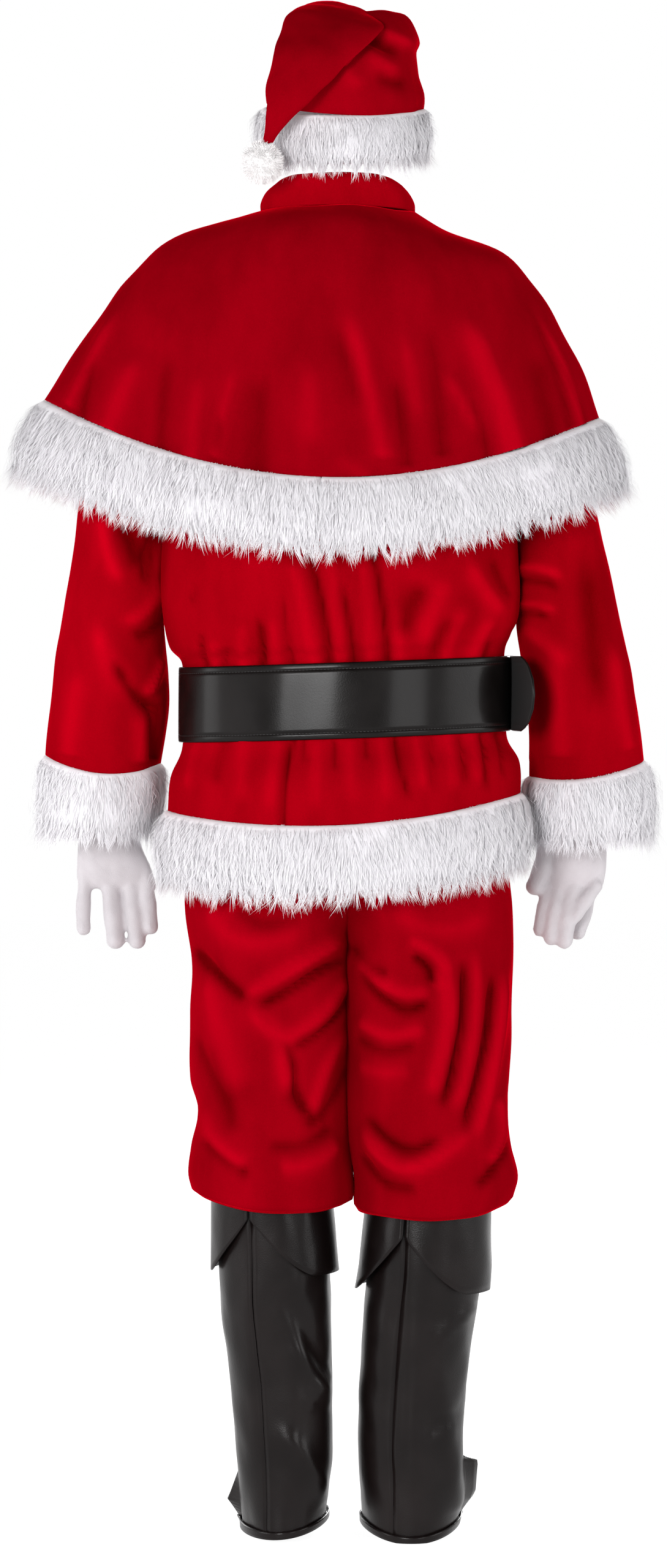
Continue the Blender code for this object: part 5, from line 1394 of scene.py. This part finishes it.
def fur_pile(name, seed):
    """The hairs of a band. Each leaves the skin outwards, bends down and leans to its
    clump's tip, so that the lower edge ends in uneven pointed wisps."""
    upper, lower, reach, start, end, count = FUR_BANDS[name]
    random = np.random.default_rng(seed)
    length_around = FUR_FLAT[name][0]
    height = FUR_FLAT[name][1] / 0.86
    columns = int(np.sqrt(count * length_around / height * 0.86))
    rows = count // columns
    row, column = np.divmod(np.arange(rows * columns), columns)
    around = (column + random.uniform(0, 1, len(row))) / columns
    down = 0.85 * ((row + random.uniform(0, 1, len(row))) / rows) ** 0.93
    early = random.uniform(0, 1, len(row)) < 0.07
    down = np.where(early, random.uniform(-0.012, 0.05, len(row)), down)
    angle = start + (end - start) * around
    top, low, out = band_frame(upper, lower, angle)
    hang = unit(low - top)
    drop = np.linalg.norm(low - top, axis=1)
    side = unit(np.cross(out, hang))
    base = top + (low - top) * down[:, None]
    lumps = 1.0 + 0.20 * band_lumps(base, seed)
    root = base + out * (reach * skin_reach(down) * lumps - 0.0004)[:, None]

    # clumps: cells of the band's surface, each with its own middle, lean and length
    across = around * length_around
    cell_wide, cell_high = 0.0044, 0.014
    strip = np.floor(down * drop / cell_high).astype(int)
    shifted = across / cell_wide + (strip % 2) * 0.5
    cell = np.floor(shifted).astype(int)
    lot = np.random.default_rng(seed + 1).uniform(-1, 1, (strip.max() + 1, cell.max() + 2, 4))[strip, cell]
    middle_across = (cell + 0.5 + 0.3 * lot[:, 0] - (strip % 2) * 0.5) * cell_wide
    edge = ease((down - 0.55) / 0.25)
    gather = (middle_across - across) * (0.20 + 0.65 * edge)
    wave = unevenness(base * (1.0, 1.0, 0.4), 1.0, 0.12, seed + 2)
    stray = (random.uniform(0, 1, len(row)) < 0.13).astype(float)
    lean = 0.16 * wave + 0.34 * lot[:, 1] * (0.14 + edge) + random.normal(0, 0.05, len(row)) * (1 + edge + 4 * stray)

    length = 0.0235 * (1.0 + 0.38 * lot[:, 2] * edge + random.normal(0, 0.12, len(row)))
    length *= np.interp(down, (0.0, 0.06, 0.2, 0.7, 0.86), (0.65, 0.85, 1.0, 1.0, 0.92)) * (0.35 + 0.65 * drop / 0.092)
    tuft = np.maximum(lot[:, 3] - 0.35, 0.0) * reach * 0.30
    rise = 0.0011 + 0.0016 * edge + tuft + reach * 0.38 * stray
    rise *= np.interp(down, (0.0, 0.05, 0.15), (0.5, 0.8, 1.0)) * (1 + random.normal(0, 0.25, len(row)))
    ahead = np.minimum(down + length / drop, 0.86)
    follow = reach * (skin_reach(ahead) - skin_reach(down)) * lumps
    halfway = reach * (skin_reach((down + ahead) / 2) - skin_reach(down)) * lumps
    furthest = reach + 0.012 - reach * skin_reach(down) * lumps
    middle = (root + hang * (length * 0.46)[:, None] + out * np.minimum(halfway + rise, furthest - 0.001)[:, None]
              + side * (gather * 0.40 + lean * length * 0.30)[:, None])
    tip_out = np.minimum(follow * (1 - 0.75 * edge) + rise * (1.0 + 0.8 * edge), furthest)
    tip = (root + hang * (length * 0.97)[:, None] + out * tip_out[:, None]
           + side * (gather + lean * length)[:, None])
    twist = random.normal(0, 0.12, len(row))[:, None]
    flat_side = unit(side * np.cos(twist) + out * np.sin(twist))
    width = random.uniform(0.00026, 0.00046, len(row))
    return blades(name + "_pile", root, middle, tip, -flat_side, width, FUR)


def make_fur():
    for seed, name in enumerate(FUR_BANDS, 40):
        skin = fur_skin(name, seed * 10)
        pile = fur_pile(name, seed * 10)


POMPOM = np.array((0.0885, 0.101, 0.0450))


def make_pompom():
    """A lumpy ball under short hairs that lean to the middles of their clumps."""
    random = np.random.default_rng(91)
    centres = unit(random.normal(size=(110, 3)))
    swell = 0.86 + 0.14 * random.uniform(0, 1, len(centres))

    def ball(away):
        near = away @ centres.T
        own = np.argmax(near, -1)
        return 0.0235 * swell[own] * (0.90 + 0.10 * ease((near.max(-1) - 0.955) / 0.045)), centres[own]

    turn = spread(0.0, TAU, 72)[None, :-1]
    fall = spread(0.02, np.pi - 0.02, 48)[:, None]
    away = np.stack((np.sin(fall) * np.cos(turn), np.sin(fall) * np.sin(turn), np.cos(fall) + 0 * turn), -1)
    rings = POMPOM + away * ball(away)[0][..., None]
    skin_points, skin_faces = tube(rings)
    skin = finish_piece(mesh_object("hat_pompom_skin", skin_points, skin_faces, PUFF), ["hat_pompom"])
    # the ball's skin takes the pale tip colour: painted light against the shade of its own hairs
    pale = skin.data.attributes.new("tip", "FLOAT", "POINT")
    pale.data.foreach_set("value", np.full(len(skin_points), 1.4, np.float32))

    count = 5000
    turn = np.arange(count) * 2.399963
    up = 1.0 - 2.0 * (np.arange(count) + 0.5) / count
    flat = np.sqrt(1.0 - up**2)
    away = np.stack((flat * np.cos(turn), flat * np.sin(turn), up), -1)
    radius, own = ball(away)
    lean = unit(away * 0.6 + own * 0.4 + random.normal(0, 0.10, away.shape) + (0.0, 0.0, -0.12))
    long = 0.0052 * (1 + 0.25 * random.normal(size=count))
    root = POMPOM + away * (radius - 0.0006)[:, None]
    middle = root + (away + lean) / 2 * (long * 0.5)[:, None]
    tip = root + lean * long[:, None]
    side = unit(np.cross(away, random.normal(size=away.shape)))
    pile = blades("hat_pompom_pile", root, middle, tip, side, random.uniform(0.0003, 0.0006, count), PUFF)


# ------------------------------------------------------------------ stage


def make_world():
    """A white studio whose light is brightest behind the suit and dimmer overhead and
    towards the camera, though it looks plain white from every side."""
    world = bpy.data.worlds.new("studio")
    bpy.context.scene.world = world
    world.use_nodes = True
    n = Nodes(world.node_tree)
    place = n.add("TexCoord").outputs["Generated"]
    parts = n.add("SeparateXYZ", Vector=place)
    ahead = n.between(parts.outputs["Y"], 0.35, -0.45, WORLD_NEAR, 1.0)
    over = n.between(parts.outputs["Z"], 0.22, 0.7, 1.0, 0.12)
    background = world.node_tree.nodes["Background"]
    seen = n.add("LightPath").outputs["Is Camera Ray"]
    strength = n.math("MAXIMUM", n.math("MULTIPLY", ahead, over), seen)
    world.node_tree.links.new(strength, background.inputs["Strength"])
    background.inputs["Color"].default_value = (1.0, 1.0, 1.0, 1.0)


WORLD_NEAR = 0.15


def make_stage():
    low, high = np.array(CAD_BOX[0]), np.array(CAD_BOX[1])
    floor_z = low[2] - 0.001
    bpy.ops.mesh.primitive_plane_add(size=24.0, location=(0.0, 0.0, floor_z))
    floor = bpy.context.object
    floor.name = "floor"
    material, _, shader = new_material("floor_paint", Roughness=0.9)
    shader.inputs["Base Color"].default_value = (0.16, 0.16, 0.162, 1.0)
    shader.inputs["Emission Color"].default_value = (1.0, 1.0, 1.0, 1.0)
    shader.inputs["Emission Strength"].default_value = 0.93
    floor.data.materials.append(material)

    make_world()

    lights = (
        ("key", (1.65, 4.7, 0.0), 1.3, 200.0),
        ("fill", (-2.9, 4.2, -0.3), 1.6, 62.0),
        ("front_key", (-1.65, -4.7, 0.0), 1.3, 200.0),
        ("front_fill", (2.9, -4.2, -0.3), 1.6, 62.0),
        ("side_left", (4.4, 1.0, -0.2), 2.2, 90.0),
        ("side_right", (-4.4, 1.0, -0.2), 2.2, 75.0),
    )
    for name, place, size, power in lights:
        light = bpy.data.lights.new(name, "AREA")
        light.energy = power
        light.size = size
        lamp = bpy.data.objects.new(name, light)
        lamp.location = place
        aim = np.array((0.0, 0.0, -0.65)) - np.array(place)
        lamp.rotation_euler = direction_to_euler(aim)
        bpy.context.scene.collection.objects.link(lamp)

    frame_height = (high[2] - low[2]) * FRAME_MARGIN
    distance = 5.6
    camera_data = bpy.data.cameras.new("camera")
    camera_data.sensor_fit = "VERTICAL"
    camera_data.sensor_height = 24.0
    camera_data.lens = 24.0 * distance / frame_height
    camera = bpy.data.objects.new("camera", camera_data)
    target = np.array((CAMERA_X, 0.0, high[2] - frame_height / 2))
    eye = np.array((CAMERA_X, distance, CAMERA_Z))
    camera.location = eye
    camera.rotation_euler = direction_to_euler(target - eye)
    bpy.context.scene.collection.objects.link(camera)
    bpy.context.scene.camera = camera
    bpy.context.scene.view_settings.view_transform = "Standard"


FRAME_MARGIN = 1.0187
CAMERA_X = 0.0055
CAMERA_Z = -0.50


def direction_to_euler(direction):
    """The turn that points an object's -Z along a direction, with its Y up."""
    from mathutils import Vector
    return Vector(direction).to_track_quat("-Z", "Y").to_euler()


make_stage()
make_cape()
make_jacket()
make_trousers()
make_boots()
make_belt()
make_gloves()
make_hat()
make_fur()
make_pompom()
